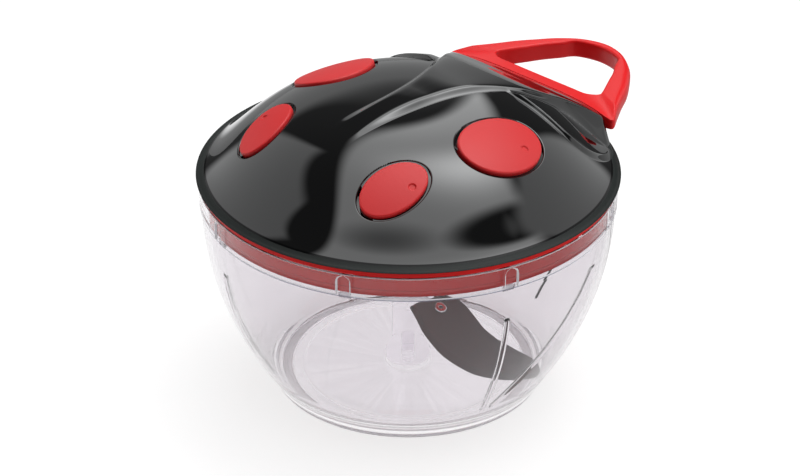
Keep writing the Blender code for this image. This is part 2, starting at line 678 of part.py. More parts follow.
def makeTopShell(lid):
    shell = place("top_shell", domeSolid(DOME_RADIUS, SHELL_EDGE, 0.0, 13, 56, LIP_WIDTH), BLACK_GLOSS, lid)
    postBottom = PLATE_TOP + CLEAR
    posts = []
    for x, y in screwPosts():
        posts.append(tool(cylinder(POST_RADIUS, postBottom, DOME_BASE + 4.0 * MM, 12), Matrix.Translation((x, y, 0.0))))
    combine(shell, posts, "UNION")
    inner = DOME_RADIUS - SHELL_WALL
    hollow = tool(domeSolid(inner, SHELL_EDGE - 3.0 * SHELL_WALL, SHELL_WALL, 6, 32))
    size = 3.0 * SHELL_RADIUS
    wallCut = tool(boxMesh((-size, TAIL_Y - SHELL_WALL, 0.0), (size, size, size)))
    keep = [wallCut]
    for name, frame, half in spots():
        keep.append(tool(oval(half, SPOT_GAP + SPOT_RIM, -SPOT_DEPTH - SPOT_FLOOR, DOME_RISE, 20), frame))
    for x, y in screwPosts():
        keep.append(tool(cylinder(POST_RADIUS, 0.0, size, 12), Matrix.Translation((x, y, 0.0))))
    combine(hollow, keep)
    combine(shell, [hollow])
    cuts = [tool(boxMesh((-size, TAIL_Y, SHELF_TOP), (size, size, size)))]
    for name, frame, half in spots():
        cuts.append(tool(oval(half, SPOT_GAP, -SPOT_DEPTH, DOME_RISE, 24), frame))
        cuts.append(tool(cylinder(PEG_RADIUS + CLEAR, -DOME_RISE, MM, 10), frame))
    for x, y in screwPosts():
        cuts.append(tool(cylinder(SCREW_HOLE, 0.0, PLATE_TOP + SCREW_BITE + MM, 12), Matrix.Translation((x, y, 0.0))))
    cuts.append(tool(cylinder(GUIDE_BORE, -2.0 * SHELL_WALL, 2.0 * SHELL_WALL, 16), alongY(TAIL_Y, CORD_Z)))
    combine(shell, cuts)
    smooth(shell, 25.0)


def padMesh(frame, half):
    # A peg, a flat underside and a top that follows the dome at the same height all over.
    bottom = -SPOT_DEPTH + CLEAR
    foot = bottom - SPOT_FLOOR - CLEAR
    rows = [(PEG_RADIUS, PEG_RADIUS, foot, None), (PEG_RADIUS, PEG_RADIUS, bottom, None)]
    rows += [(half[0], half[1], bottom, None), (half[0], half[1], None, SPOT_PROUD - SPOT_EDGE)]
    for inset, share in ((SPOT_EDGE, 1.0), (0.0, 0.66), (0.0, 0.33)):
        rows.append((half[0] * share - inset, half[1] * share - inset, None, SPOT_PROUD))
    segments = 24
    points = []
    for wide, long, flat, proud in rows:
        for i in range(segments):
            step = 2.0 * math.pi * i / segments
            spot = frame @ Vector((wide * math.cos(step), long * math.sin(step), flat or 0.0))
            if flat is None:
                spot.z = DOME_BASE + float(shellRise(spot.x, spot.y)) + proud
            points.append(spot)
    middle = frame @ Vector((0.0, 0.0, 0.0))
    middle.z = DOME_BASE + float(shellRise(middle.x, middle.y)) + SPOT_PROUD
    points.append(middle)
    faces = [list(range(segments))[::-1]]
    for j in range(len(rows) - 1):
        for i in range(segments):
            k = (i + 1) % segments
            a = j * segments
            b = a + segments
            faces.append([a + i, a + k, b + k, b + i])
    last = (len(rows) - 1) * segments
    for i in range(segments):
        faces.append([last + i, last + (i + 1) % segments, len(points) - 1])
    return meshFrom("pad", points, faces)


def makeSpotPads(lid):
    for name, frame, half in spots():
        pad = place(name, padMesh(frame, half), RED_SOFT, lid)
        turn = math.radians(DIMPLE_TURN)
        outward = math.copysign(half[0], frame.translation.x)
        out = Vector((outward * math.cos(turn), half[1] * math.sin(turn), 0.0)) * DIMPLE_OUT
        spot = frame @ out
        lift = DOME_BASE + float(shellRise(spot.x, spot.y)) + SPOT_PROUD - spot.z
        dimple = cylinder(DIMPLE_RADIUS, lift - DIMPLE_DEPTH, lift + 3.0 * MM, 10)
        combine(pad, [tool(dimple, frame @ Matrix.Translation(out))])
        smooth(pad)


def makeLidBase(lid):
    wallInner = SKIRT_RADIUS - LID_WALL
    sealIn = SKIRT_RADIUS - SEAL_WIDTH
    sealTop = SEAL_BOTTOM + SEAL_HEIGHT
    profile = [(BOSS_BORE, PLATE_BOTTOM), (SKIRT_RADIUS - SKIRT_WALL, PLATE_BOTTOM)]
    profile += [(SKIRT_RADIUS - SKIRT_WALL, SKIRT_BOTTOM), (sealIn - CLEAR, SKIRT_BOTTOM)]
    profile += [(sealIn - CLEAR, sealTop + CLEAR), (SKIRT_RADIUS, sealTop + CLEAR)]
    profile += [(SKIRT_RADIUS, RING_BOTTOM), (RED_RING_RADIUS, RING_BOTTOM), (RED_RING_RADIUS, RING_TOP)]
    profile += [(wallInner, RING_TOP), (wallInner, PLATE_TOP), (BOSS_BORE + BOSS_WALL, PLATE_TOP)]
    profile += [(BOSS_BORE + BOSS_WALL, BASE_BOSS_TOP), (BOSS_BORE, BASE_BOSS_TOP)]
    base = place("lid_base", turned(profile, SEGMENTS), RED_GLOSS, lid)
    posts = []
    for x, y in coverPosts():
        post = cylinder(COVER_POST_RADIUS, PLATE_BOTTOM + 0.5 * PLATE_THICK, COVER_BOTTOM - CLEAR, 12)
        posts.append(tool(post, Matrix.Translation((x, y, 0.0))))
    combine(base, posts, "UNION")
    holes = []
    for x, y in coverPosts():
        hole = cylinder(SCREW_HOLE, COVER_TOP - SCREW_BITE - MM, COVER_TOP, 12)
        holes.append(tool(hole, Matrix.Translation((x, y, 0.0))))
    for x, y in screwPosts():
        holes.append(tool(cylinder(SCREW_HOLE, 0.0, PLATE_TOP + MM, 12), Matrix.Translation((x, y, 0.0))))
    combine(base, holes)
    smooth(base)
    seal = [(sealIn, SEAL_BOTTOM), (SKIRT_RADIUS, SEAL_BOTTOM), (SKIRT_RADIUS, sealTop), (sealIn, sealTop)]
    smooth(place("lid_seal", turned(seal, SEGMENTS), RED_SOFT, lid))


def coverPosts():
    for angle in COVER_SCREW_ANGLES:
        turn = math.radians(angle)
        yield COVER_POST_AT * math.cos(turn), COVER_POST_AT * math.sin(turn)


def screwMesh(length):
    # A pan head under z = 0 and a plain shank upwards.
    profile = [(0.0, -SCREW_HEAD_HEIGHT), (SCREW_HEAD - 0.7 * MM, -SCREW_HEAD_HEIGHT)]
    profile += [(SCREW_HEAD, 0.7 * MM - SCREW_HEAD_HEIGHT), (SCREW_HEAD, 0.0), (SCREW_RADIUS, 0.0)]
    profile += [(SCREW_RADIUS, length), (0.0, length)]
    return turned(profile, 10)


def makeScrews(lid):
    shellMesh = screwMesh(PLATE_THICK + CLEAR + SCREW_BITE)
    for i, (x, y) in enumerate(screwPosts()):
        screw = place("shell_screw_%d" % (i + 1), shellMesh, STEEL, lid, (x, y, PLATE_BOTTOM - CLEAR))
        smooth(screw)
    coverMesh = screwMesh(SCREW_BITE)
    coverMesh.transform(Matrix.Rotation(math.pi, 4, "X"))
    for i, (x, y) in enumerate(coverPosts()):
        screw = place("cover_screw_%d" % (i + 1), coverMesh, STEEL, lid, (x, y, COVER_TOP + CLEAR))
        smooth(screw)


def makeMechanism(lid):
    cover = place("mechanism_cover", cylinder(COVER_RADIUS, COVER_BOTTOM, COVER_TOP, 40), GREY_PLASTIC, lid)
    holes = [tool(cylinder(ARBOR_RADIUS + CLEAR, 0.0, 0.2, SMALL_SEGMENTS))]
    for x, y in coverPosts():
        holes.append(tool(cylinder(SCREW_HOLE, 0.0, 0.2, 12), Matrix.Translation((x, y, 0.0))))
    combine(cover, holes)
    smooth(cover)
    arborBottom = HUB_TOP + CLEAR
    arborTop = COVER_TOP + CLEAR + 1.5 * MM
    arbor = [(0.0, arborBottom), (ARBOR_RADIUS, arborBottom), (ARBOR_RADIUS, COVER_TOP + CLEAR)]
    arbor += [(ARBOR_FLANGE, COVER_TOP + CLEAR), (ARBOR_FLANGE, arborTop), (0.0, arborTop)]
    smooth(place("spring_arbor", turned(arbor), STEEL, lid))
    smooth(place("recoil_spring", springMesh(), STEEL, lid))
    bush = [(JOURNAL_RADIUS + CLEAR, PLATE_BOTTOM), (BUSH_RADIUS, PLATE_BOTTOM)]
    bush += [(BUSH_RADIUS, BASE_BOSS_TOP + CLEAR), (BUSH_FLANGE, BASE_BOSS_TOP + CLEAR)]
    bush += [(BUSH_FLANGE, BUSH_TOP), (JOURNAL_RADIUS + CLEAR, BUSH_TOP)]
    smooth(place("bearing_bush", turned(bush), BRASS, lid))


def springMesh():
    # A flat strip wound in a spiral, from the arbor out to the reel's drum.
    inner = ARBOR_RADIUS + CLEAR + 0.5 * SPRING_THICK
    outer = DRUM_RADIUS - DRUM_WALL - CLEAR - 0.5 * SPRING_THICK
    count = SPRING_TURNS * 18
    points = []
    for i in range(count + 1):
        turn = 2.0 * math.pi * SPRING_TURNS * i / count
        radius = inner + (outer - inner) * i / count
        for side in (-0.5, 0.5):
            r = radius + side * SPRING_THICK
            for z in (SPRING_BOTTOM, SPRING_BOTTOM + SPRING_HEIGHT):
                points.append((r * math.cos(turn), r * math.sin(turn), z))
    faces = [[0, 2, 3, 1]]
    for i in range(count):
        a = 4 * i
        b = a + 4
        faces += [[a, b, b + 2, a + 2][::-1], [a + 1, b + 1, b + 3, a + 3]]
        faces += [[a, b, b + 1, a + 1], [a + 2, b + 2, b + 3, a + 3][::-1]]
    last = 4 * count
    faces.append([last, last + 1, last + 3, last + 2])
    mesh = meshFrom("spring", points, faces)
    work = bmesh.new()
    work.from_mesh(mesh)
    bmesh.ops.recalc_face_normals(work, faces=work.faces)
    work.to_mesh(mesh)
    work.free()
    return mesh


def makeReel(reel):
    drumIn = DRUM_RADIUS - DRUM_WALL
    profile = [(0.0, REEL_BOTTOM), (FLANGE_RADIUS, REEL_BOTTOM), (FLANGE_RADIUS, REEL_FLOOR)]
    profile += [(DRUM_RADIUS, REEL_FLOOR), (DRUM_RADIUS, REEL_UPPER), (FLANGE_RADIUS, REEL_UPPER)]
    profile += [(FLANGE_RADIUS, REEL_TOP), (drumIn, REEL_TOP), (drumIn, REEL_FLOOR), (HUB_RADIUS, REEL_FLOOR)]
    profile += [(HUB_RADIUS, HUB_TOP), (0.0, HUB_TOP)]
    body = place("cord_reel", turned(profile, 32), WHITE_PLASTIC, reel)
    hexBore = prism(hexOutline(DRIVE_HEX + 2.0 * HEX_GAP), 0.0, DRIVE_TOP + CLEAR)
    screwBore = cylinder(SCREW_HOLE, 0.0, 0.2, 12)
    counter = cylinder(SCREW_HEAD + CLEAR, REEL_SCREW_SEAT - CLEAR, 0.2, 12)
    combine(body, [tool(hexBore), tool(screwBore), tool(counter)])
    smooth(body)
    smooth(place("cord_winding", windingMesh(), CORD_WHITE, reel))
    makeCoupler(reel)


def tangentTurn():
    # Angle at which the straight cord to the tail's guide leaves the winding.
    return math.radians(90.0) - math.acos(CORD_LINE / TAIL_Y)


def windingMesh():
    # The stored cord as one helix. It ends where the straight cord leaves it.
    perTurn = 24
    count = int(round(CORD_TURNS * perTurn))
    bottom = REEL_FLOOR + CLEAR + CORD_RADIUS
    end = tangentTurn() - math.radians(4.0)
    stations = []
    for i in range(count + 1):
        turn = end - 2.0 * math.pi * (count - i) / perTurn
        z = bottom + CORD_PITCH * i / perTurn
        stations.append(Vector((CORD_LINE * math.cos(turn), CORD_LINE * math.sin(turn), z)))
    gap = min((a - b).length for i, a in enumerate(stations) for b in stations[i + perTurn // 2:]) - 2.0 * CORD_RADIUS
    print("least gap between the cord's turns: %.2f mm" % (gap / MM))
    return sweptTube(stations, CORD_RADIUS, 6)


def makeCoupler(reel):
    profile = [(0.0, SOCKET_MOUTH), (SOCKET_RADIUS, SOCKET_MOUTH), (SOCKET_RADIUS, SOCKET_SHOULDER)]
    profile += [(JOURNAL_RADIUS, SOCKET_SHOULDER), (JOURNAL_RADIUS, REEL_BOTTOM), (0.0, REEL_BOTTOM)]
    coupler = place("drive_coupler", turned(profile), GREY_PLASTIC, reel)
    drive = tool(prism(hexOutline(DRIVE_HEX), REEL_BOTTOM - 2.0 * MM, DRIVE_TOP))
    combine(coupler, [drive], "UNION")
    socket = tool(prism(hexOutline(SOCKET_HEX), SOCKET_MOUTH - MM, SOCKET_MOUTH + SOCKET_DEPTH))
    screw = tool(cylinder(SCREW_HOLE, REEL_SCREW_SEAT - SCREW_BITE - MM, HUB_TOP, 12))
    combine(coupler, [socket, screw])
    smooth(coupler)
    reelScrew = screwMesh(SCREW_BITE)
    reelScrew.transform(Matrix.Rotation(math.pi, 4, "X"))
    reelScrew.transform(Matrix.Translation((0.0, 0.0, REEL_SCREW_SEAT)))
    smooth(place("reel_screw", reelScrew, STEEL, reel))


def handleStations():
    # Right half of the loop in plan, from the middle of the bar round to the far middle:
    # outer edge, inner edge. All points follow from the loop's length, half width and bar depth.
    front = TAIL_Y + CLEAR
    far = front + HANDLE_LENGTH
    half = HANDLE_HALF
    inner = front + BAR_DEPTH
    opening = OPENING_SHARE * half
    outerRim = [(0.0, front), (0.3 * half, front), (0.58 * half, front), (0.8 * half, front), (0.93 * half, front)]
    innerRim = [(0.0, inner), (0.31 * opening, inner), (0.62 * opening, inner), (0.84 * opening, inner)]
    innerRim += [(0.96 * opening, inner + 0.9 * MM)]
    length = far - front
    outerShares = ((1.022, 0.03), (0.932, 0.17), (0.826, 0.33), (0.723, 0.50), (0.597, 0.66), (0.454, 0.81))
    for x, y in (*outerShares, (0.231, 0.945)):
        outerRim.append((x * half, front + y * length))
    reach = far - GRIP_WALL - inner
    innerShares = ((1.055, 0.09), (1.019, 0.18), (0.932, 0.30), (0.827, 0.44), (0.713, 0.60), (0.559, 0.77))
    for x, y in (*innerShares, (0.411, 0.93)):
        innerRim.append((x * opening, inner + y * reach))
    outerRim.append((0.0, far))
    innerRim.append((0.0, far - GRIP_WALL))
    return outerRim, innerRim


def handleTop(x, y):
    # The bar's top continues the tail's top, then the grip lies level a little lower.
    slope = min(max((y - TAIL_Y - CLEAR) / BAR_DEPTH, 0.0), 1.0)
    ends = SADDLE_EDGE_DROP * min(abs(x) / SADDLE_WIDE, 1.05) ** 4 * (1.0 - slope)
    return BAR_TOP - GRIP_DROP * slope - ends


def makeHandle(handle):
    outerRim, innerRim = handleStations()
    right = list(zip(outerRim, innerRim))
    left = [((-a[0], a[1]), (-b[0], b[1])) for a, b in right[1:-1]][::-1]
    loop = right + left
    front = TAIL_Y + CLEAR
    points = []
    for outer, inner in loop:
        outer = Vector((outer[0], outer[1]))
        inner = Vector((inner[0], inner[1]))
        across = (outer - inner).normalized()
        onWall = outer.y < front + 1e-6
        under = 0.0 if onWall else GRIP_UNDER
        top = handleTop(outer.x, outer.y)
        topIn = handleTop(inner.x, inner.y)
        bottom = SHELF_TOP + CLEAR
        low = min(bottom, topIn - GRIP_THICK) if outer.y > front + BAR_DEPTH else bottom
        edge = 0.0 if onWall else HANDLE_EDGE
        soft = outer - across * edge
        lip = inner + across * 0.6 * MM
        foot = outer - across * under
        points += [(inner.x, inner.y, low), (foot.x, foot.y, low), (outer.x, outer.y, low + under)]
        points += [(outer.x, outer.y, max(top - 1.6 * edge, low + under + MM))]
        points += [(soft.x, soft.y, top), (lip.x, lip.y, topIn), (inner.x, inner.y, topIn - 0.6 * MM)]
    rows = len(loop)
    faces = []
    for i in range(rows):
        a = 7 * i
        b = 7 * ((i + 1) % rows)
        for k in range(7):
            m = (k + 1) % 7
            faces.append([a + k, b + k, b + m, a + m])
    mesh = meshFrom("handle", points, faces)
    body = place("pull_handle", mesh, RED_GLOSS, handle)
    tidy(body)
    knotY = front + 0.5 * BAR_DEPTH
    hole = tool(cylinder(CORD_HOLE, -MM, knotY - front, 12), alongY(front, CORD_Z))
    pocketLow = (-KNOT_POCKET, knotY - KNOT_POCKET, 0.0)
    pocketHigh = (KNOT_POCKET, knotY + KNOT_POCKET, CORD_Z + KNOT_POCKET)
    pocket = tool(boxMesh(pocketLow, pocketHigh))
    combine(body, [hole, pocket])
    smooth(body)
    makeCordEnd(handle, knotY)


def makeCordEnd(handle, knotY):
    # The cord from the tail wall into the handle, with its knot as a ball.
    length = knotY - TAIL_Y
    profile = [(0.0, CLEAR), (CORD_RADIUS, CLEAR)]
    start = math.asin(CORD_RADIUS / KNOT_RADIUS)
    for i in range(6):
        turn = start + (math.pi - start) * i / 5.0
        profile.append((KNOT_RADIUS * math.sin(turn) if i < 5 else 0.0, length - KNOT_RADIUS * math.cos(turn)))
    mesh = turned(profile, 12)
    mesh.transform(alongY(TAIL_Y, CORD_Z))
    smooth(place("cord_end", mesh, CORD_WHITE, handle))


def makeCordRun(lid):
    # The straight cord from the reel's winding to the tail wall, and the guide it passes through.
    # It starts where it just clears the winding, which turns past it.
    start = tangentTurn()
    leave = REEL_FLOOR + CLEAR + CORD_RADIUS + CORD_PITCH * CORD_TURNS
    past = math.sqrt((CORD_LINE + CORD_RADIUS + CLEAR) ** 2 - (CORD_LINE - CORD_RADIUS) ** 2)
    first = Vector((CORD_LINE * math.cos(start), CORD_LINE * math.sin(start), leave))
    last = Vector((0.0, TAIL_Y - SHELL_WALL - CLEAR, CORD_Z))
    first += (last - first).normalized() * past
    stations = [first + (last - first) * i / 6.0 for i in range(6)]
    stations += [last, Vector((0.0, TAIL_Y - 0.5 * SHELL_WALL, CORD_Z)), Vector((0.0, TAIL_Y - CLEAR, CORD_Z))]
    smooth(place("cord_run", sweptTube(stations, CORD_RADIUS, 8), CORD_WHITE, lid))
    outer = CORD_HOLE + GUIDE_WALL
    back = -SHELL_WALL - 0.4 * MM
    guide = [(CORD_HOLE + 0.5 * MM, back), (outer, back), (outer, -0.2 * MM), (CORD_HOLE + 0.5 * MM, -0.2 * MM)]
    guide += [(CORD_HOLE, -0.8 * MM), (CORD_HOLE, back + 0.6 * MM)]
    mesh = turned(guide, 16)
    mesh.transform(alongY(TAIL_Y, CORD_Z))
    smooth(place("cord_guide", mesh, STEEL, lid))


def bladeFrame(at, fall, turn):
    # A frame in the blade's tilted plane: X runs out along the arm and down.
    tilt = Matrix.Rotation(math.atan(fall), 4, "Y")
    return Matrix.Rotation(math.radians(turn), 4, "Z") @ Matrix.Translation((0.0, 0.0, at)) @ tilt


def bladeOutline():
    # A sickle: the cutting edge is a bow, the back runs nearly straight and then turns up to the tip.
    # The points are shares of the blade's reach.
    edge = [(0.131, -0.102), (0.230, -0.131), (0.328, -0.164), (0.438, -0.179), (0.547, -0.179), (0.666, -0.144)]
    edge += [(0.766, -0.091), (0.843, -0.015), (0.905, 0.066), (0.956, 0.164), (1.000, 0.263)]
    back = [(0.985, 0.328), (0.937, 0.357), (0.868, 0.350), (0.792, 0.314), (0.704, 0.277), (0.620, 0.244)]
    back += [(0.522, 0.230), (0.398, 0.244), (0.281, 0.248), (0.171, 0.193)]
    return [(x * BLADE_REACH, y * BLADE_REACH) for x, y in edge + back]


def bladeArms():
    yield "lower", bladeFrame(LOWER_BLADE_AT, LOWER_BLADE_FALL, 0.0)
    yield "upper", bladeFrame(UPPER_BLADE_AT, UPPER_BLADE_FALL, 180.0)


def makeBlades(blades):
    hole = PIN_RADIUS + CLEAR
    profile = [(0.0, COLUMN_BOTTOM), (COLUMN_FOOT, COLUMN_BOTTOM), (COLUMN_FOOT, COLUMN_BOTTOM + 2.0 * MM)]
    profile += [(COLUMN_RADIUS + 0.6 * MM, COLUMN_BOTTOM + 6.0 * MM), (COLUMN_RADIUS, COLUMN_SHOULDER)]
    profile += [(0.0, COLUMN_SHOULDER)]
    column = place("blade_column", turned(profile), CLEAR_PLASTIC, blades)
    drive = prism(hexOutline(SOCKET_HEX - 2.0 * HEX_GAP), COLUMN_SHOULDER - MM, COLUMN_TOP)
    under = -0.5 * BLADE_THICK - CLEAR
    low = (0.0, -0.4 * SEAT_WIDTH, under - SEAT_THICK)
    high = (SEAT_LENGTH, 0.6 * SEAT_WIDTH, under)
    added = [tool(drive)] + [tool(boxMesh(low, high), frame) for name, frame in bladeArms()]
    combine(column, added, "UNION")
    cuts = [tool(cylinder(hole, 0.0, PIN_TOP + CLEAR))]
    for name, frame in bladeArms():
        spot = frame @ Matrix.Translation((RIVET_OUT, RIVET_SIDE, 0.0))
        cuts.append(tool(cylinder(RIVET_RADIUS + CLEAR, -2.0 * SEAT_THICK, 2.0 * SEAT_THICK, 12), spot))
    combine(column, cuts)
    smooth(column)
    for name, frame in bladeArms():
        makeBlade(name, frame, blades)


def makeBlade(name, frame, blades):
    mesh = prism(bladeOutline(), -0.5 * BLADE_THICK, 0.5 * BLADE_THICK)
    mesh.transform(frame)
    blade = place(name + "_blade", mesh, DARK_STEEL, blades)
    spot = frame @ Matrix.Translation((RIVET_OUT, RIVET_SIDE, 0.0))
    combine(blade, [tool(cylinder(RIVET_RADIUS + CLEAR, -2.0 * BLADE_THICK, 2.0 * BLADE_THICK, 12), spot)])
    top = 0.5 * BLADE_THICK + CLEAR
    bottom = -0.5 * BLADE_THICK - 2.0 * CLEAR - SEAT_THICK
    profile = [(RIVET_BORE, bottom - 0.6 * MM), (RIVET_HEAD, bottom - 0.6 * MM), (RIVET_HEAD, bottom)]
    profile += [(RIVET_RADIUS, bottom), (RIVET_RADIUS, top), (RIVET_HEAD, top)]
    profile += [(RIVET_HEAD - 0.4 * MM, top + 0.6 * MM), (RIVET_BORE, top + 0.6 * MM)]
    rivet = turned(profile, 16)
    rivet.transform(spot)
    smooth(place(name + "_blade_rivet", rivet, STEEL, blades))


def main():
    clearScene()
    makeBowl()
    lid = emptyAt("lid_frame", (0.0, 0.0, RING_BOTTOM))
    reel = emptyAt("reel_axis", (0.0, 0.0, REEL_BOTTOM))
    reel.parent = lid
    reel.matrix_parent_inverse = lid.matrix_basis.inverted()
    handle = emptyAt("handle_slide", (0.0, TAIL_Y, CORD_Z))
    handle.parent = lid
    handle.matrix_parent_inverse = lid.matrix_basis.inverted()
    blades = emptyAt("blade_axis", (0.0, 0.0, COLUMN_BOTTOM))
    makeLidBase(lid)
    makeTopShell(lid)
    makeSpotPads(lid)
    makeMechanism(lid)
    makeScrews(lid)
    makeCordRun(lid)
    makeReel(reel)
    makeHandle(handle)
    makeBlades(blades)


main()
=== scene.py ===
# Pull-cord food chopper: the look of each piece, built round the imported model.
# Everything is in metres, in the model's own frame: +Z up, the handle is pulled towards +Y.
import json
import math

import bpy
import numpy as np
from mathutils import Matrix, Vector
from mathutils.geometry import delaunay_2d_cdt


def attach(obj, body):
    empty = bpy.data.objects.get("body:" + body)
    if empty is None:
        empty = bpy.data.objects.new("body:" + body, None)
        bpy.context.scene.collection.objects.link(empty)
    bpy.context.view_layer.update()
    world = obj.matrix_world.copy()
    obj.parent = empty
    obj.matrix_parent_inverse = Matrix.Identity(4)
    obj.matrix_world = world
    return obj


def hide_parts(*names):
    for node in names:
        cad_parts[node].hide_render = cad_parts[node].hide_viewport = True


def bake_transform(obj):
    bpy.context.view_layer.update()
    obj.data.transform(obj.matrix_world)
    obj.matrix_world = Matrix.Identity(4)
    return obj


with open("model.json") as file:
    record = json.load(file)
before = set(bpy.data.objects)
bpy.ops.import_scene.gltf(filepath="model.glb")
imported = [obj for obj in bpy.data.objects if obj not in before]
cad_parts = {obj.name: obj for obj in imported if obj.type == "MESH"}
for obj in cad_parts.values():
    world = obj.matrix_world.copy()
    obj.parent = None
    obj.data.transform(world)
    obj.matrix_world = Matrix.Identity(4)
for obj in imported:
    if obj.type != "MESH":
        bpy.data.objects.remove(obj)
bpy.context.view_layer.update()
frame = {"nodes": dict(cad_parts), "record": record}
mm = 0.001
gap = 0.3 * mm  # clearance between pieces that touch or slide
print("frame loaded")

# ---- camera, lamps and floor

camera = {
    "turn": 44.65,          # degrees from the front towards the right
    "rise": 29.5,
    "distance": 1.0,
    "lens": 124.07,
    "aside": -2.98 * mm,    # of the aim from the blades' axis, across the view
    "aimHeight": 53.8 * mm,
}


def makeCamera():
    turn, rise = math.radians(camera["turn"]), math.radians(camera["rise"])
    across = Vector((math.cos(turn), math.sin(turn), 0.0))
    back = Vector((math.cos(rise) * math.sin(turn), -math.cos(rise) * math.cos(turn), math.sin(rise)))
    aim = across * camera["aside"] + Vector((0.0, 0.0, camera["aimHeight"]))
    data = bpy.data.cameras.new("camera")
    data.lens = camera["lens"]
    data.sensor_width = 36.0
    data.clip_start, data.clip_end = 0.05, 20.0
    made = bpy.data.objects.new("camera", data)
    bpy.context.scene.collection.objects.link(made)
    made.location = aim + back * camera["distance"]
    made.rotation_euler = (-back).to_track_quat("-Z", "Y").to_euler()
    bpy.context.scene.camera = made


# The studio round the chopper, as soft panels of light on a dark room. The ceiling panel is a sheet at
# height 1 over the object: its edges are given there, and it is brightest at its hot spot.
studio = {
    "room": 0.07,
    "horizon": 0.05,                    # the least upward slope at which a ray still finds the ceiling
    "ceilingFade": (0.1, 0.1),          # upward slope at which the ceiling starts, and its soft start
    "ceilingRight": (0.53, 0.107),      # where the edge is in front of the object, and its slope
    "ceilingLeft": (-0.533, -0.51),
    "ceilingFront": (-0.673, 0.72),
    "ceilingBack": (0.857, 0.757),      # slopes only on the left half
    "ceilingSoft": 0.125,
    "ceilingLight": 1.8,
    "hotSpot": (0.0, 0.483),
    "hotWidth": 0.364,
    "hotLight": 3.9,
    "tint": (0.985, 0.995, 1.0),
}
# Each wall panel: middle and half width in degrees from the front towards the right,
# lower and upper edge in degrees, light.
wallPanels = {
    "frontLeft": (-75.0, 28.0, -8.0, 49.2, 0.79),
    "rightBack": (158.3, 31.9, -6.3, 47.2, 0.79),
    "backLeft": (-127.0, 15.0, -27.0, 25.1, 0.42),
    "right": (102.0, 25.2, 0.0, 49.4, 0.79),
}
panelSoft = math.radians(6.0)
floorLook = {
    "half": 6.0,
    "matt": 0.30,
    "seen": 0.78,           # light for the camera and through clear plastic
    "bounce": 0.55,         # light that it throws on matt surfaces
    "litCentre": (-0.16, -0.16),
    "litFrom": 0.24,        # in reflections its light fades out between these distances from there
    "litTo": 0.50,
}


def feed(tree, socket, value):
    # Gives a socket a fixed value, or links another node's output to it.
    if isinstance(value, bpy.types.NodeSocket):
        tree.links.new(value, socket)
    else:
        socket.default_value = value


def addNode(tree, kind, inputs=None, **settings):
    node = tree.nodes.new(kind)
    for name, value in settings.items():
        setattr(node, name, value)
    for socket, value in (inputs or {}).items():
        feed(tree, node.inputs[socket], value)
    return node


def calc(tree, operation, *values):
    # The result of a Math node.
    return addNode(tree, "ShaderNodeMath", dict(enumerate(values)), operation=operation).outputs[0]


def product(tree, first, *others):
    for other in others:
        first = calc(tree, "MULTIPLY", first, other)
    return first


def softGate(tree, value, low, width):
    # 0 below low and 1 past low plus width, smooth between.
    ends = {"Value": value, "From Min": low, "From Max": low + width}
    return addNode(tree, "ShaderNodeMapRange", ends, interpolation_type="SMOOTHSTEP").outputs["Result"]


def overEdge(tree, value, edge, start, width):
    # The soft gate of how far a value is over an edge.
    return softGate(tree, calc(tree, "SUBTRACT", value, edge), start, width)


def coordinates(tree, kind):
    place = addNode(tree, "ShaderNodeTexCoord").outputs[kind]
    return addNode(tree, "ShaderNodeSeparateXYZ", {0: place}).outputs


def seenPlainly(tree, path):
    # 1 for what the camera sees, also through clear plastic.
    return calc(tree, "MAXIMUM", path["Is Camera Ray"], path["Is Transmission Ray"])


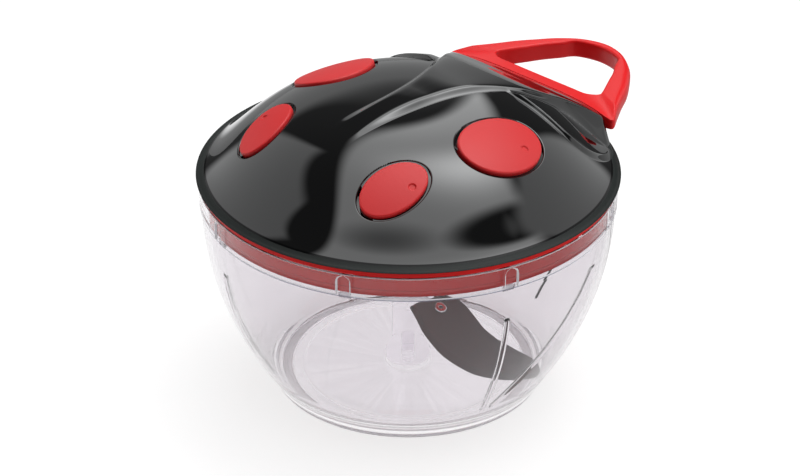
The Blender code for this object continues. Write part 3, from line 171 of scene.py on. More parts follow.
def makeWorld():
    # u and v are where a ray meets the ceiling's plane, turn and rise its direction.
    world = bpy.data.worlds.new("studio")
    world.use_nodes = True
    tree = world.node_tree
    x, y, z = coordinates(tree, "Generated")
    up = calc(tree, "MAXIMUM", z, studio["horizon"])
    u, v = calc(tree, "DIVIDE", x, up), calc(tree, "DIVIDE", y, up)
    soft = studio["ceilingSoft"]

    def edgeLine(name, along):
        place, slope = studio[name]
        return calc(tree, "MULTIPLY_ADD", along, slope, place)

    leftwards = calc(tree, "MAXIMUM", calc(tree, "MULTIPLY", u, -1.0), 0.0)
    mask = product(tree, softGate(tree, z, *studio["ceilingFade"]),
                   overEdge(tree, edgeLine("ceilingRight", v), u, -soft / 2.0, soft),
                   overEdge(tree, u, edgeLine("ceilingLeft", v), -soft / 2.0, soft),
                   overEdge(tree, v, edgeLine("ceilingFront", u), 0.0, 2.0 * soft),
                   overEdge(tree, edgeLine("ceilingBack", leftwards), v, 0.0, 2.0 * soft))
    du, dv = (calc(tree, "SUBTRACT", a, b) for a, b in zip((u, v), studio["hotSpot"]))
    far = calc(tree, "MULTIPLY_ADD", du, du, calc(tree, "MULTIPLY", dv, dv))
    glow = calc(tree, "POWER", math.e, calc(tree, "MULTIPLY", far, -1.0 / studio["hotWidth"] ** 2))
    ceiling = calc(tree, "MULTIPLY_ADD", glow, studio["hotLight"], studio["ceilingLight"])
    light = calc(tree, "MULTIPLY_ADD", ceiling, mask, studio["room"])
    turn = calc(tree, "ARCTAN2", x, calc(tree, "MULTIPLY", y, -1.0))
    rise = calc(tree, "ARCSINE", z)
    for *angles, level in wallPanels.values():
        middle, half, low, high = (math.radians(angle) for angle in angles)
        aside = calc(tree, "WRAP", calc(tree, "SUBTRACT", turn, middle), math.pi, -math.pi)
        aside = calc(tree, "ABSOLUTE", aside)
        panel = product(tree, *(overEdge(tree, value, edge, -panelSoft / 2.0, panelSoft)
                                for value, edge in ((half, aside), (rise, low), (high, rise))))
        light = calc(tree, "MULTIPLY_ADD", panel, level, light)
    path = addNode(tree, "ShaderNodeLightPath").outputs
    shade = tree.nodes["Background"].inputs
    feed(tree, shade["Strength"], calc(tree, "MAXIMUM", light, seenPlainly(tree, path)))
    feed(tree, shade["Color"], (*studio["tint"], 1.0))
    bpy.context.scene.world = world
    bpy.context.scene.view_settings.view_transform = "Standard"


def makeFloor():
    half, near, far = floorLook["half"], floorLook["litFrom"], floorLook["litTo"]
    mesh = bpy.data.meshes.new("floor")
    corners = [(-half, -half, 0.0), (half, -half, 0.0), (half, half, 0.0), (-half, half, 0.0)]
    mesh.from_pydata(corners, [], [(0, 1, 2, 3)])
    floor = bpy.data.objects.new("floor", mesh)
    bpy.context.scene.collection.objects.link(floor)
    made = bpy.data.materials.new("paleFloor")
    made.use_nodes = True
    tree = made.node_tree
    tree.nodes.clear()
    path = addNode(tree, "ShaderNodeLightPath").outputs
    place = addNode(tree, "ShaderNodeTexCoord").outputs["Object"]
    ends = {0: place, 1: (*floorLook["litCentre"], 0.0)}
    away = addNode(tree, "ShaderNodeVectorMath", ends, operation="DISTANCE").outputs["Value"]
    lit = calc(tree, "SUBTRACT", 1.0, softGate(tree, away, near, far - near))
    lit = calc(tree, "MULTIPLY", path["Is Glossy Ray"], lit)
    lit = calc(tree, "MAXIMUM", seenPlainly(tree, path), lit)
    level = calc(tree, "MULTIPLY", lit, floorLook["seen"])
    level = calc(tree, "MULTIPLY_ADD", path["Is Diffuse Ray"], floorLook["bounce"], level)
    matt = addNode(tree, "ShaderNodeBsdfDiffuse", {"Color": (*[floorLook["matt"]] * 3, 1.0)}).outputs[0]
    glow = addNode(tree, "ShaderNodeEmission", {"Strength": level}).outputs[0]
    both = addNode(tree, "ShaderNodeAddShader", {0: matt, 1: glow}).outputs[0]
    addNode(tree, "ShaderNodeOutputMaterial", {"Surface": both})
    mesh.materials.append(made)


makeCamera()
makeWorld()
makeFloor()
print("camera, studio and floor ready")

# ---- materials


def makeHandledGroup():
    # Colour that drifts a little over the surface, roughness with cloudy smears, and fine grain.
    group = bpy.data.node_groups.new("handledSurface", "ShaderNodeTree")
    inputs = {"Colour": (0.5, 0.5, 0.5, 1.0), "Colour drift": 0.1, "Roughness": 0.4,
              "Smears": 0.1, "Smear scale": 40.0, "Grain scale": 1500.0}
    outputs = ("Colour", "Roughness", "Grain")
    for side, name in [("INPUT", name) for name in inputs] + [("OUTPUT", name) for name in outputs]:
        kind = "NodeSocketColor" if name == "Colour" else "NodeSocketFloat"
        socket = group.interface.new_socket(name=name, in_out=side, socket_type=kind)
        if side == "INPUT":
            socket.default_value = inputs[name]
    given = addNode(group, "NodeGroupInput").outputs
    place = addNode(group, "ShaderNodeTexCoord").outputs["Object"]
    clouds = addNode(group, "ShaderNodeTexNoise", {
        "Vector": place, "Scale": given["Smear scale"], "Detail": 5.0, "Roughness": 0.6}).outputs["Fac"]
    grain = addNode(group, "ShaderNodeTexNoise", {
        "Vector": place, "Scale": given["Grain scale"], "Detail": 2.0}).outputs["Fac"]
    centred = calc(group, "SUBTRACT", clouds, 0.5)
    drift = calc(group, "MULTIPLY_ADD", centred, given["Colour drift"], 1.0)
    tint = addNode(group, "ShaderNodeVectorMath", {0: given["Colour"], "Scale": drift},
                   operation="SCALE")
    smear = calc(group, "MULTIPLY_ADD", centred, given["Smears"], given["Roughness"])
    kept = addNode(group, "ShaderNodeClamp", {"Value": smear, "Min": 0.01})
    addNode(group, "NodeGroupOutput", {
        "Colour": tint.outputs[0], "Roughness": kept.outputs[0], "Grain": grain})
    return group


handledSurface = makeHandledGroup()

finishes = {
    # colour, drift, roughness, smears, smear scale, grain scale, grain depth in mm, fixed shader values
    "clearPlastic": ((0.82, 0.795, 0.82), 0.0, 0.015, 0.01, 30.0, 900.0, 0.0,
                     {"Transmission Weight": 1.0, "IOR": 1.49}),
    # painted highlight for the bowl's moulded edges, and painted shade for the line under the band's
    # step
    "clearPaintedHighlight": ((0.98, 0.955, 1.0), 0.03, 0.30, 0.05, 60.0, 900.0, 0.0,
                  {"Transmission Weight": 0.1, "IOR": 1.49}),
    "clearPaintedShade": ((0.34, 0.34, 0.44), 0.05, 0.20, 0.05, 60.0, 900.0, 0.0,
                   {"Transmission Weight": 0.5, "IOR": 1.49}),
    "clearColumn": ((0.97, 0.96, 0.975), 0.0, 0.02, 0.01, 30.0, 900.0, 0.0,
                    {"Transmission Weight": 1.0, "IOR": 1.03}),
    "frostedRubber": ((0.80, 0.78, 0.80), 0.05, 0.35, 0.1, 60.0, 1500.0, 0.01,
                      {"Transmission Weight": 0.7, "IOR": 1.45}),
    "redGloss": ((0.80, 0.010, 0.012), 0.08, 0.32, 0.06, 45.0, 2200.0, 0.006,
                 {"IOR": 1.5, "Specular IOR Level": 0.25}),
    "redMoulded": ((0.74, 0.010, 0.010), 0.06, 0.35, 0.06, 45.0, 2200.0, 0.006,
                   {"IOR": 1.45, "Specular IOR Level": 0.15}),
    "redSoft": ((0.66, 0.014, 0.016), 0.10, 0.46, 0.06, 60.0, 1700.0, 0.030, {"IOR": 1.45}),
    "blackMirror": ((0.0022, 0.0022, 0.0024), 0.2, 0.025, 0.02, 26.0, 1200.0, 0.0,
                    {"IOR": 1.68, "Specular IOR Level": 0.10, "Coat IOR": 1.68, "Coat Roughness": 0.025,
                     "Coat Weight": 0.8}),
    "cordWhite": ((0.78, 0.77, 0.74), 0.10, 0.75, 0.1, 120.0, 4000.0, 0.04, {}),
    "greyPlastic": ((0.18, 0.18, 0.19), 0.12, 0.42, 0.12, 60.0, 1500.0, 0.02, {}),
    "whitePlastic": ((0.76, 0.76, 0.74), 0.06, 0.38, 0.1, 60.0, 1500.0, 0.02, {}),
    "steel": ((0.62, 0.62, 0.63), 0.08, 0.20, 0.15, 120.0, 2500.0, 0.004, {"Metallic": 1.0}),
    "darkSteel": ((0.062, 0.056, 0.064), 0.35, 0.42, 0.15, 70.0, 2500.0, 0.010, {"Metallic": 0.25}),
    "brass": ((0.74, 0.55, 0.23), 0.10, 0.26, 0.12, 90.0, 2000.0, 0.006, {"Metallic": 1.0}),
}
madeFinishes = {}


def finish(name):
    if name in madeFinishes:
        return madeFinishes[name]
    colour, drift, roughness, smears, smearScale, grainScale, depth, fixed = finishes[name]
    made = bpy.data.materials.new(name)
    made.use_nodes = True
    tree = made.node_tree
    given = {"Colour": (*colour, 1.0), "Colour drift": drift, "Roughness": roughness,
             "Smears": smears, "Smear scale": smearScale, "Grain scale": grainScale}
    surface = addNode(tree, "ShaderNodeGroup", None, node_tree=handledSurface)
    for socket, value in given.items():
        surface.inputs[socket].default_value = value
    out = surface.outputs
    looks = {"Roughness": out["Roughness"],
             "Base Color": out["Colour"] if drift > 0.0 else given["Colour"]}
    if depth > 0.0:
        bump = addNode(tree, "ShaderNodeBump", {"Distance": depth * mm, "Height": out["Grain"]})
        looks["Normal"] = bump.outputs["Normal"]
    for socket, value in {**looks, **fixed}.items():
        feed(tree, tree.nodes["Principled BSDF"].inputs[socket], value)
    madeFinishes[name] = made
    return made


# Round the shell's foot: a band painted paler as a painted reflection of the bevel, with a rougher satin
# finish and no lacquer.
bevel = {
    "from": 72.9 * mm,          # the painted reflection band starts at this radius, with a dark line before it
    "line": 0.6 * mm,
    "blur": 0.1 * mm,
    "below": 86.0 * mm,
    "colour": (0.010, 0.013, 0.012),
    "roughness": 0.4,
    "gloss": 0.8,               # of the lacquer, which stops at the dark line
}


def addPaintedBevelReflection(made):
    # The shell's foot has a satin bevel: a duller, rougher band round the edge, painted paler as a
    # painted reflection of the bevel, inside a dark line where the lacquer stops.
    tree = made.node_tree
    shader = tree.nodes["Principled BSDF"].inputs
    x, y, z = coordinates(tree, "Object")
    radius = calc(tree, "SQRT", calc(tree, "MULTIPLY_ADD", x, x, calc(tree, "MULTIPLY", y, y)))
    low = calc(tree, "LESS_THAN", z, bevel["below"])
    band, line = (calc(tree, "MULTIPLY", softGate(tree, radius, start, bevel["blur"]), low)
                  for start in (bevel["from"], bevel["from"] - bevel["line"]))
    plain, rough = (shader[name].links[0].from_socket for name in ("Base Color", "Roughness"))
    # the band's paler colour is a painted reflection
    colours = {"Factor": band, "A": plain, "B": (*bevel["colour"], 1.0)}
    mix = addNode(tree, "ShaderNodeMix", colours, data_type="RGBA")
    feed(tree, shader["Base Color"], mix.outputs["Result"])
    feed(tree, shader["Roughness"], calc(tree, "MULTIPLY_ADD", band, bevel["roughness"], rough))
    lacquered = calc(tree, "SUBTRACT", 1.0, calc(tree, "MAXIMUM", band, line))
    feed(tree, shader["Coat Weight"], calc(tree, "MULTIPLY", lacquered, bevel["gloss"]))


# ---- mesh helpers


def gridFaces(rows, cols, start=0, closed=True):
    # Quads between the rows of a grid of points, numbered row by row.
    last = cols if closed else cols - 1
    i, j = np.meshgrid(np.arange(last), np.arange(rows - 1))
    k = (i + 1) % cols
    a = j * cols
    b = a + cols
    return (np.stack([a + i, a + k, b + k, b + i], -1).reshape(-1, 4) + start).tolist()


def weld(points, faces, reach=1e-7):
    # Joins points that lie in one place, and drops the corners and faces that this folds up.
    # Also gives each point's new number.
    keys = np.round(np.asarray(points) / reach).astype(np.int64)
    _, first, index = np.unique(keys, axis=0, return_index=True, return_inverse=True)
    index = index.reshape(-1)
    kept = [list(dict.fromkeys(index[face].tolist())) for face in map(list, faces)]
    return np.asarray(points)[first], [face if len(face) > 2 else None for face in kept], index


def piece(name, points, faces, body, look, replaced=(), sharp=None, normals=None, curved=0):
    # normals are those of the first points, and hold on the first `curved` faces.
    mesh = bpy.data.meshes.new(name)
    points, faces, index = weld(points, faces)
    mesh.from_pydata(points.tolist(), [], [face for face in faces if face])
    mesh.update()
    made = bpy.data.objects.new(name, mesh)
    bpy.context.scene.collection.objects.link(made)
    mesh.shade_smooth()
    if sharp:
        mesh.set_sharp_from_angle(angle=math.radians(sharp))
    if normals is not None:
        held = np.zeros(points.shape)
        held[index[:len(normals)]] = normals
        corners = [held[face] if number < curved else np.zeros((len(face), 3))
                   for number, face in enumerate(faces) if face]
        mesh.normals_split_custom_set(np.concatenate(corners).tolist())
    mesh.materials.append(finish(look))
    if body:
        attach(made, body)
    if replaced:
        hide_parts(*replaced)
    return made


def smoothStep(value):
    t = np.clip(value, 0.0, 1.0)
    return t * t * (3.0 - 2.0 * t)


def softEdge(value, width):
    # 0 below the edge and 1 above it, over a width.
    return smoothStep(value / width + 0.5)


def carry(points, matrix):
    return points @ np.array(matrix.to_3x3()).T + np.array(matrix.translation)


def softPath(corners, steps=5, closed=True):
    # A line through corners (radius, height, rounding). Each corner is rounded by a bow that starts
    # and ends at its rounding's distance, with a point just before and after it so that flats stay flat.
    path = []
    count = len(corners)
    for i, (r, z, soft) in enumerate(corners):
        here = np.array((r, z))
        if soft <= 0.0 or (not closed and i in (0, count - 1)):
            path.append(here)
            continue
        before = np.array(corners[i - 1][:2]) - here
        after = np.array(corners[(i + 1) % count][:2]) - here
        a = before * min(soft / np.linalg.norm(before), 0.48)
        b = after * min(soft / np.linalg.norm(after), 0.48)
        path.append(here + a * 1.06)
        for t in np.linspace(0.0, 1.0, steps):
            path.append(here + a * (1.0 - t) ** 2 + b * t ** 2)
        path.append(here + b * 1.06)
    return np.array(path)


def turnedGrid(path, turns):
    # Each point of the path, carried round the axis at each turn.
    r, z = path[:, 0][:, None], path[:, 1][:, None]
    return np.stack([r * np.cos(turns), r * np.sin(turns), z + 0.0 * turns], -1).reshape(-1, 3)


def turnedPiece(name, path, body, look, replaced=(), segments=160, sharp=40.0, closed=True,
                place=None):
    turns = np.linspace(0.0, 2.0 * np.pi, segments, endpoint=False)
    points = turnedGrid(path, turns)
    faces = gridFaces(len(path), segments)
    if closed:
        last = (len(path) - 1) * segments
        faces += [[last + i, last + (i + 1) % segments, (i + 1) % segments, i] for i in range(segments)]
    if place is not None:
        points = carry(points, place)
    return piece(name, points, faces, body, look, replaced, sharp)


def smoothLoop(points, count, closed=True):
    # A curve through given points, each stretch a cubic whose slope at a point
    # is half the way between its neighbours. count points are spread evenly by length.
    p = np.asarray(points, float)
    n = len(p)
    if closed:
        q = np.concatenate([p[-1:], p, p[:2]])
        spans = n
    else:
        q = np.concatenate([2.0 * p[:1] - p[1:2], p, 2.0 * p[-1:] - p[-2:-1]])
        spans = n - 1
    t = np.linspace(0.0, 1.0, 25)[:-1][:, None]
    parts = []
    for i in range(spans):
        a, b, c, d = q[i], q[i + 1], q[i + 2], q[i + 3]
        parts.append(0.5 * (2.0 * b + (c - a) * t + (2.0 * a - 5.0 * b + 4.0 * c - d) * t ** 2
                            + (3.0 * b - a - 3.0 * c + d) * t ** 3))
    fine = np.concatenate(parts + ([p[:1]] if closed else [p[-1:]]))
    along = np.concatenate([[0.0], np.cumsum(np.linalg.norm(np.diff(fine, axis=0), axis=1))])
    want = np.linspace(0.0, along[-1], count + 1)[:-1] if closed else np.linspace(0.0, along[-1], count)
    return np.stack([np.interp(want, along, fine[:, k]) for k in range(fine.shape[1])], -1)


# ---- bowl

bowl = {
    "rimRadius": 75.0 * mm,
    "rimHeight": 80.2 * mm,
    "bandHeight": 8.4 * mm,
    "bandStep": 0.6 * mm,
    "footRadius": 50.0 * mm,
    "footHeight": 3.0 * mm,
    "curve": 2.05,
    "wall": 2.4 * mm,
    "floor": 3.0 * mm,
    "floorRadius": 42.0 * mm,
    "filletHeight": 13.0 * mm,
    "keys": 8,
    "keyTurn": 27.4,
    "keyWidth": 4.8 * mm,
    "keyDrop": 0.7 * mm,
    "restWidth": 4.2 * mm,
    "restDepth": 1.2 * mm,
    "restHeight": 1.6 * mm,
    "ribRadius": 1.1 * mm,
    "ribLow": 14.0 * mm,
    "ribHigh": 57.0 * mm,
    "slopeRib": (76.4, 106.5),      # degrees from the front at its foot and at its top
    "slopeRibTop": 61.0 * mm,
    "bossRadius": 8.0 * mm,
    "bossRise": 1.7 * mm,
    "pinRadius": 2.1 * mm,
    "pinRise": 8.6 * mm,
    "pinDepth": 3.2 * mm,
    "ringInner": 43.5 * mm,
    "ringWidth": 4.0 * mm,
    "ringDepth": 1.4 * mm,
}
# Widths of the painted highlight lines on the bowl's moulded edges, and of the painted shade line under
# the band's step.
bowlLines = {
    "rim": 0.35 * mm,
    "arch": 0.5 * mm,
    "stepFrom": -0.7 * mm,      # the step's painted highlight line lies between these two depths under the band
    "step": 0.2 * mm,
    "shade": 0.4 * mm,
}
bowlMesh = {
    "columns": 120,             # round the plain wall
    "footColumns": 112,         # round the foot and the floor
    "keyColumns": (0.45, 0.9, 1.3, 1.65, 1.95, 2.1, 2.25, 2.4, 2.55, 2.72, 3.2),    # mm from its middle
    "ribColumns": 13,
    "ribReach": 1.9 / 62.0,     # a rib's half width and a margin, as a turn at the ribs' radius
    "slopePitch": 0.0085,       # turn between the columns across the sloping rib
    "leastTurn": 0.0016,
    "outsideRows": 34,
    "bandRows": 0.2 * mm,       # between the rows at the band's step and the arches' heads
    "insideRows": 88,
    "filletRows": 15,
    "soft": 0.3 * mm,           # over which the band and the rests stand out
}
bandBottom = bowl["rimHeight"] - bowl["bandHeight"]
wallTop = bowl["rimRadius"] - bowl["bandStep"]
bowlInner = wallTop - bowl["wall"]
bossTop = bowl["floor"] + bowl["bossRise"]
ringBottom = bowl["rimHeight"] + gap     # underside of the lid's red ring
skirtBottom = ringBottom - 7.9 * mm
sealBottom = skirtBottom - 0.5 * mm
restTop = sealBottom - gap


def wallOutside(z):
    # Radius of the wall: it leaves the foot and swells as a power curve to the band.
    share = np.clip((z - bowl["footHeight"]) / (bandBottom - bowl["footHeight"]), 0.0, 1.0)
    low = bowl["footRadius"] + mm
    return wallTop - (wallTop - low) * (1.0 - share) ** bowl["curve"]


def keyAngles():
    return np.radians(bowl["keyTurn"] + 360.0 / bowl["keys"] * np.arange(bowl["keys"]) - 90.0)


def ribLines():
    # Each rib as start angle, end angle, low end and high end.
    step = 360.0 / bowl["keys"]
    first = bowl["keyTurn"]
    for i in range(4):
        turn = math.radians(first + 2 * step * i + step - 90.0)
        yield turn, turn, bowl["ribLow"], bowl["ribHigh"]
    foot, top = (math.radians(angle - 90.0) for angle in bowl["slopeRib"])
    yield foot, top, bowl["ribLow"], bowl["slopeRibTop"]


def bowlColumns():
    # Turns of the bowl's columns: close together at the keys' and ribs' edges, wide elsewhere.
    turns = [np.linspace(0.0, 2.0 * np.pi, bowlMesh["columns"], endpoint=False)]
    aside = np.array(bowlMesh["keyColumns"]) * mm
    aside = np.concatenate([-aside, [0.0], aside]) / bowl["rimRadius"]
    turns += [angle + aside for angle in keyAngles()]
    reach = bowlMesh["ribReach"]
    for a, b, low, high in ribLines():
        count = bowlMesh["ribColumns"] if a == b else 15 + int((b - a) / bowlMesh["slopePitch"])
        turns.append(np.linspace(a - reach, b + reach, count))
    turns = np.sort(np.mod(np.concatenate(turns), 2.0 * np.pi))
    return turns[np.concatenate([[True], np.diff(turns) > bowlMesh["leastTurn"]])]


def around(turn, centre):
    # Signed angle from a centre, wrapped to half a turn.
    return np.mod(turn - centre + np.pi, 2.0 * np.pi) - np.pi


def archHead():
    # Height of the middle of the arches' round heads.
    return bowl["rimHeight"] - bowl["keyDrop"] - bowl["keyWidth"] / 2.0


def insideArch(aside, z):
    # How far a point is inside an arch: two straight sides under a round head.
    return bowl["keyWidth"] / 2.0 - np.hypot(aside, np.maximum(z - archHead(), 0.0))


def archMask(turns, z):
    mask = np.zeros(np.broadcast(turns, z).shape)
    for angle in keyAngles():
        distance = insideArch(around(turns, angle) * bowl["rimRadius"], z)
        mask = np.maximum(mask, softEdge(distance, 0.35 * mm))
    return mask


def ribHeight(turns, z, radius):
    # Height of the ribs over the wall's inside: half round, with rounded ends.
    height = np.zeros(np.broadcast(turns, z).shape)
    for a, b, low, high in ribLines():
        share = np.clip((z - low) / (high - low), 0.0, 1.0)
        line = a + (b - a) * share
        slope = (b - a) * radius / (high - low)
        aside = around(turns, line) * radius / np.sqrt(1.0 + slope ** 2)
        past = np.maximum(np.maximum(low - z, z - high), 0.0)
        away = np.hypot(aside, past) / bowl["ribRadius"]
        bow = np.sqrt(np.clip(1.0 - away ** 2, 0.0, 1.0)) * (away < 1.0)
        height = np.maximum(height, bowl["ribRadius"] * 0.95 * bow)
    return height


def makeBowl():
    turns = bowlColumns()
    count, grid = len(turns), turns[None, :]
    rimRadius, rimHeight, soft = bowl["rimRadius"], bowl["rimHeight"], bowlMesh["soft"]
    ringIn, ringOut = bowl["ringInner"] - gap, bowl["ringInner"] + bowl["ringWidth"] + gap
    under = softPath([
        (0.0, 0.0, 0.0),
        (ringIn, 0.0, 0.3 * mm),
        (ringIn, bowl["ringDepth"] + gap, 0.2 * mm),
        (ringOut, bowl["ringDepth"] + gap, 0.2 * mm),
        (ringOut, 0.0, 0.3 * mm),
        (bowl["footRadius"] - 0.2 * mm, 0.0, 0.8 * mm),
        (bowl["footRadius"] + mm, bowl["footHeight"], 0.0),
    ], closed=False)
    # outside, up to the rim: the rows are close together at the band's step and the arches' heads
    base, head, pitch = bowl["footHeight"], archHead(), bowlMesh["bandRows"]
    share = np.linspace(0.0, 1.0, bowlMesh["outsideRows"])[1:] ** 1.15
    z = base + (bandBottom - 1.7 * mm - base) * share
    z = np.concatenate([z, np.arange(bandBottom - 1.6 * mm, bandBottom + mm, pitch),
                        np.arange(bandBottom + 1.4 * mm, head - 0.4 * mm, 3.0 * pitch),
                        np.arange(head - 0.2 * mm, rimHeight - 0.5 * mm, pitch)])[:, None]
    band = softEdge(z - bandBottom, soft) * (1.0 - archMask(grid, z))
    radius = wallOutside(z) + bowl["bandStep"] * band
    outer = np.stack([radius * np.cos(grid), radius * np.sin(grid), z + 0.0 * grid], -1)
    rim = softPath([
        (rimRadius, rimHeight - 0.5 * mm, 0.0),
        (rimRadius, rimHeight, 0.35 * mm),
        (bowlInner, rimHeight, 0.4 * mm),
        (bowlInner, rimHeight - 0.8 * mm, 0.0),
    ], closed=False)
    # inside, from the rim down to the fillet
    restLow, filletHeight = restTop - bowl["restHeight"], bowl["filletHeight"]
    down = np.concatenate([
        np.linspace(rimHeight - 1.0 * mm, restTop + 0.6 * mm, 5),
        np.linspace(restTop + 0.4 * mm, restLow - 0.4 * mm, 13),
        np.linspace(restLow - 0.9 * mm, filletHeight, bowlMesh["insideRows"]),
    ])[:, None]
    inside = np.minimum(wallOutside(down) - bowl["wall"], bowlInner)
    levels = softEdge(restTop - down, soft) * softEdge(down - restTop + bowl["restHeight"], soft)
    block = np.zeros(np.broadcast(grid, down).shape)
    for angle in keyAngles():
        sides = softEdge(bowl["restWidth"] / 2.0 - np.abs(around(grid, angle) * bowlInner), soft)
        block = np.maximum(block, sides * levels)
    inside = inside - ribHeight(grid, down, inside) - bowl["restDepth"] * block
    inner = np.stack([inside * np.cos(grid), inside * np.sin(grid), down + 0.0 * grid], -1)
    # the fillet is a bow from the wall to the flat floor, pulled towards their corner
    level, edge = bowl["floor"], bowl["floorRadius"]
    top = np.array((float(wallOutside(filletHeight)) - bowl["wall"], filletHeight))
    slope = float(wallOutside(filletHeight + mm) - wallOutside(filletHeight)) / mm
    corner = np.array((top[0] - slope * (top[1] - level) * 0.75, level))
    t = np.linspace(0.0, 1.0, bowlMesh["filletRows"])[1:, None]
    fillet = top * (1.0 - t) ** 2 + corner * 2.0 * t * (1.0 - t) + np.array((edge, level)) * t ** 2
    hole, holeFloor = bowl["pinRadius"] + gap, bossTop - bowl["pinDepth"] - gap
    floor = softPath([
        (edge - 0.5 * mm, level, 0.0),
        (edge - 2.0 * mm, level, 0.5 * mm),
        (edge - 2.4 * mm, level + 0.35 * mm, 0.5 * mm),
        (edge - 3.4 * mm, level + 0.35 * mm, 0.5 * mm),
        (edge - 3.8 * mm, level, 0.5 * mm),
        (bowl["bossRadius"] + 0.4 * mm, level, 0.5 * mm),
        (bowl["bossRadius"], bossTop, 0.5 * mm),
        (hole, bossTop, 0.2 * mm),
        (hole, holeFloor, 0.2 * mm),
        (0.0, holeFloor, 0.0),
    ], closed=False)
    # the foot and the floor have no keys or ribs, so they take only some of the columns
    some = np.unique(np.searchsorted(turns, np.linspace(0.0, turns[-1], bowlMesh["footColumns"])))
    floor = np.concatenate([fillet[1:], floor])
    foot = turnedGrid(under, turns[some])
    wall = np.concatenate([outer.reshape(-1, 3), turnedGrid(rim, turns),
                           inner.reshape(-1, 3), turnedGrid(fillet[:1], turns)])
    points = np.concatenate([foot, wall, turnedGrid(floor, turns[some])])
    wallEnd = len(foot) + len(wall)
    faces = gridFaces(len(under), len(some)) + gridFaces(len(wall) // count, count, len(foot))
    faces += gridFaces(len(floor), len(some), wallEnd)
    # along the two joins, one face reaches over all the columns between two of those
    low = len(foot) - len(some)
    for i, (a, b) in enumerate(zip(some.tolist(), some[1:].tolist() + [some[0] + count])):
        k = (i + 1) % len(some)
        across = [j % count for j in range(a, b + 1)]
        faces.append([low + i, low + k] + [len(foot) + j for j in across[::-1]])
        faces.append([wallEnd - count + j for j in across] + [wallEnd + k, wallEnd + i])
    paintLines(piece("bowlClear", points, faces, "bowl", "clearPlastic", ["bowl"], 50.0))


def paintLines(made):
    # Painted highlights and shade on the moulded edges: the rim, the arches' outlines, the lid rests and
    # the band's lower step get a pale painted highlight, with a painted shade line under the step.
    centres = np.empty(3 * len(made.data.polygons))
    made.data.polygons.foreach_get("center", centres)
    x, y, z = centres.reshape(-1, 3).T
    radius, turns = np.hypot(x, y), np.arctan2(y, x)
    outside = radius > wallOutside(z) - 0.3 * mm
    aside = np.abs([around(turns, angle) for angle in keyAngles()]).min(0) * bowl["rimRadius"]
    inArch = insideArch(aside, z)
    lines = bowlLines
    under = bandBottom - z
    onArch = (np.abs(inArch) < lines["arch"] / 2.0) & (z > bandBottom)
    onStep = (under > lines["stepFrom"]) & (under < lines["step"]) & (inArch < 0.0)
    onRim = z > bowl["rimHeight"] - lines["rim"]
    onRest = (aside < bowl["restWidth"] / 2.0) & (z < restTop) & (z > restTop - bowl["restHeight"])
    # faces that get the painted highlight, and under the step those that get the painted shade
    paintedHighlight = np.where(outside, onArch | onStep | onRim, onRest)
    shade = outside & (under > lines["step"]) & (under < lines["step"] + lines["shade"])
    for look in ("clearPaintedHighlight", "clearPaintedShade"):
        made.data.materials.append(finish(look))
    made.data.polygons.foreach_set("material_index", np.where(paintedHighlight, 1, np.where(shade, 2, 0)))


makeBowl()
turnedPiece("spindlePin", softPath([
    (0.0, bossTop - bowl["pinDepth"], 0.0),
    (bowl["pinRadius"], bossTop - bowl["pinDepth"], 0.1 * mm),
    (bowl["pinRadius"], bossTop + bowl["pinRise"], 0.8 * mm),
    (0.0, bossTop + bowl["pinRise"], 0.0),
], closed=False), "bowl", "clearColumn", ["spindle_pin"], 40, closed=False)
turnedPiece("nonSlipRing", softPath([
    (bowl["ringInner"], 0.0, 0.4 * mm),
    (bowl["ringInner"] + bowl["ringWidth"], 0.0, 0.4 * mm),
    (bowl["ringInner"] + bowl["ringWidth"], bowl["ringDepth"], 0.2 * mm),
    (bowl["ringInner"], bowl["ringDepth"], 0.2 * mm),
]), "bowl", "frostedRubber", ["non_slip_ring"])
print("bowl ready")

# ---- lid base and seal

lid = {
    "ringHeight": 2.0 * mm,
    "ringRadius": 74.8 * mm,
    "plateDrop": 3.5 * mm,
    "plateThick": 2.0 * mm,
    "skirtWall": 2.6 * mm,
    "wall": 2.4 * mm,
    "sealWidth": 1.5 * mm,
    "sealHeight": 2.0 * mm,
    "bore": 7.1 * mm,
    "bossWall": 2.2 * mm,
    "bossRise": 1.6 * mm,
}
ringTop = ringBottom + lid["ringHeight"]
plateTop = ringBottom - lid["plateDrop"]
plateBottom = plateTop - lid["plateThick"]
skirtRadius = bowlInner - gap


def makeLidBase():
    sealIn = skirtRadius - lid["sealWidth"]
    sealTop = sealBottom + lid["sealHeight"]
    skirtIn = skirtRadius - lid["skirtWall"]
    small = 0.25 * mm
    path = softPath([
        (lid["bore"], plateBottom, small),
        (skirtIn, plateBottom, 0.6 * mm),
        (skirtIn, skirtBottom, small),
        (sealIn - gap, skirtBottom, small),
        (sealIn - gap, sealTop + gap, small),
        (skirtRadius, sealTop + gap, small),
        (skirtRadius, ringBottom, small),
        (lid["ringRadius"], ringBottom, 0.4 * mm),
        (lid["ringRadius"], ringTop, 0.5 * mm),
        (skirtRadius - lid["wall"], ringTop, small),
        (skirtRadius - lid["wall"], plateTop, small),
        (lid["bore"] + lid["bossWall"], plateTop, small),
        (lid["bore"] + lid["bossWall"], plateTop + lid["bossRise"], small),
        (lid["bore"], plateTop + lid["bossRise"], small),
    ])
    turnedPiece("lidBase", path, "lid", "redMoulded", ["lid_base"], 240)
    turnedPiece("lidSeal", softPath([
        (sealIn, sealBottom, 0.4 * mm),
        (skirtRadius, sealBottom, 0.4 * mm),
        (skirtRadius, sealTop + gap - 0.05 * mm, 0.1 * mm),
        (sealIn, sealTop, 0.2 * mm),
    ]), "lid", "redMoulded", ["lid_seal"], 240)


makeLidBase()
print("lid base ready")

# ---- top shell

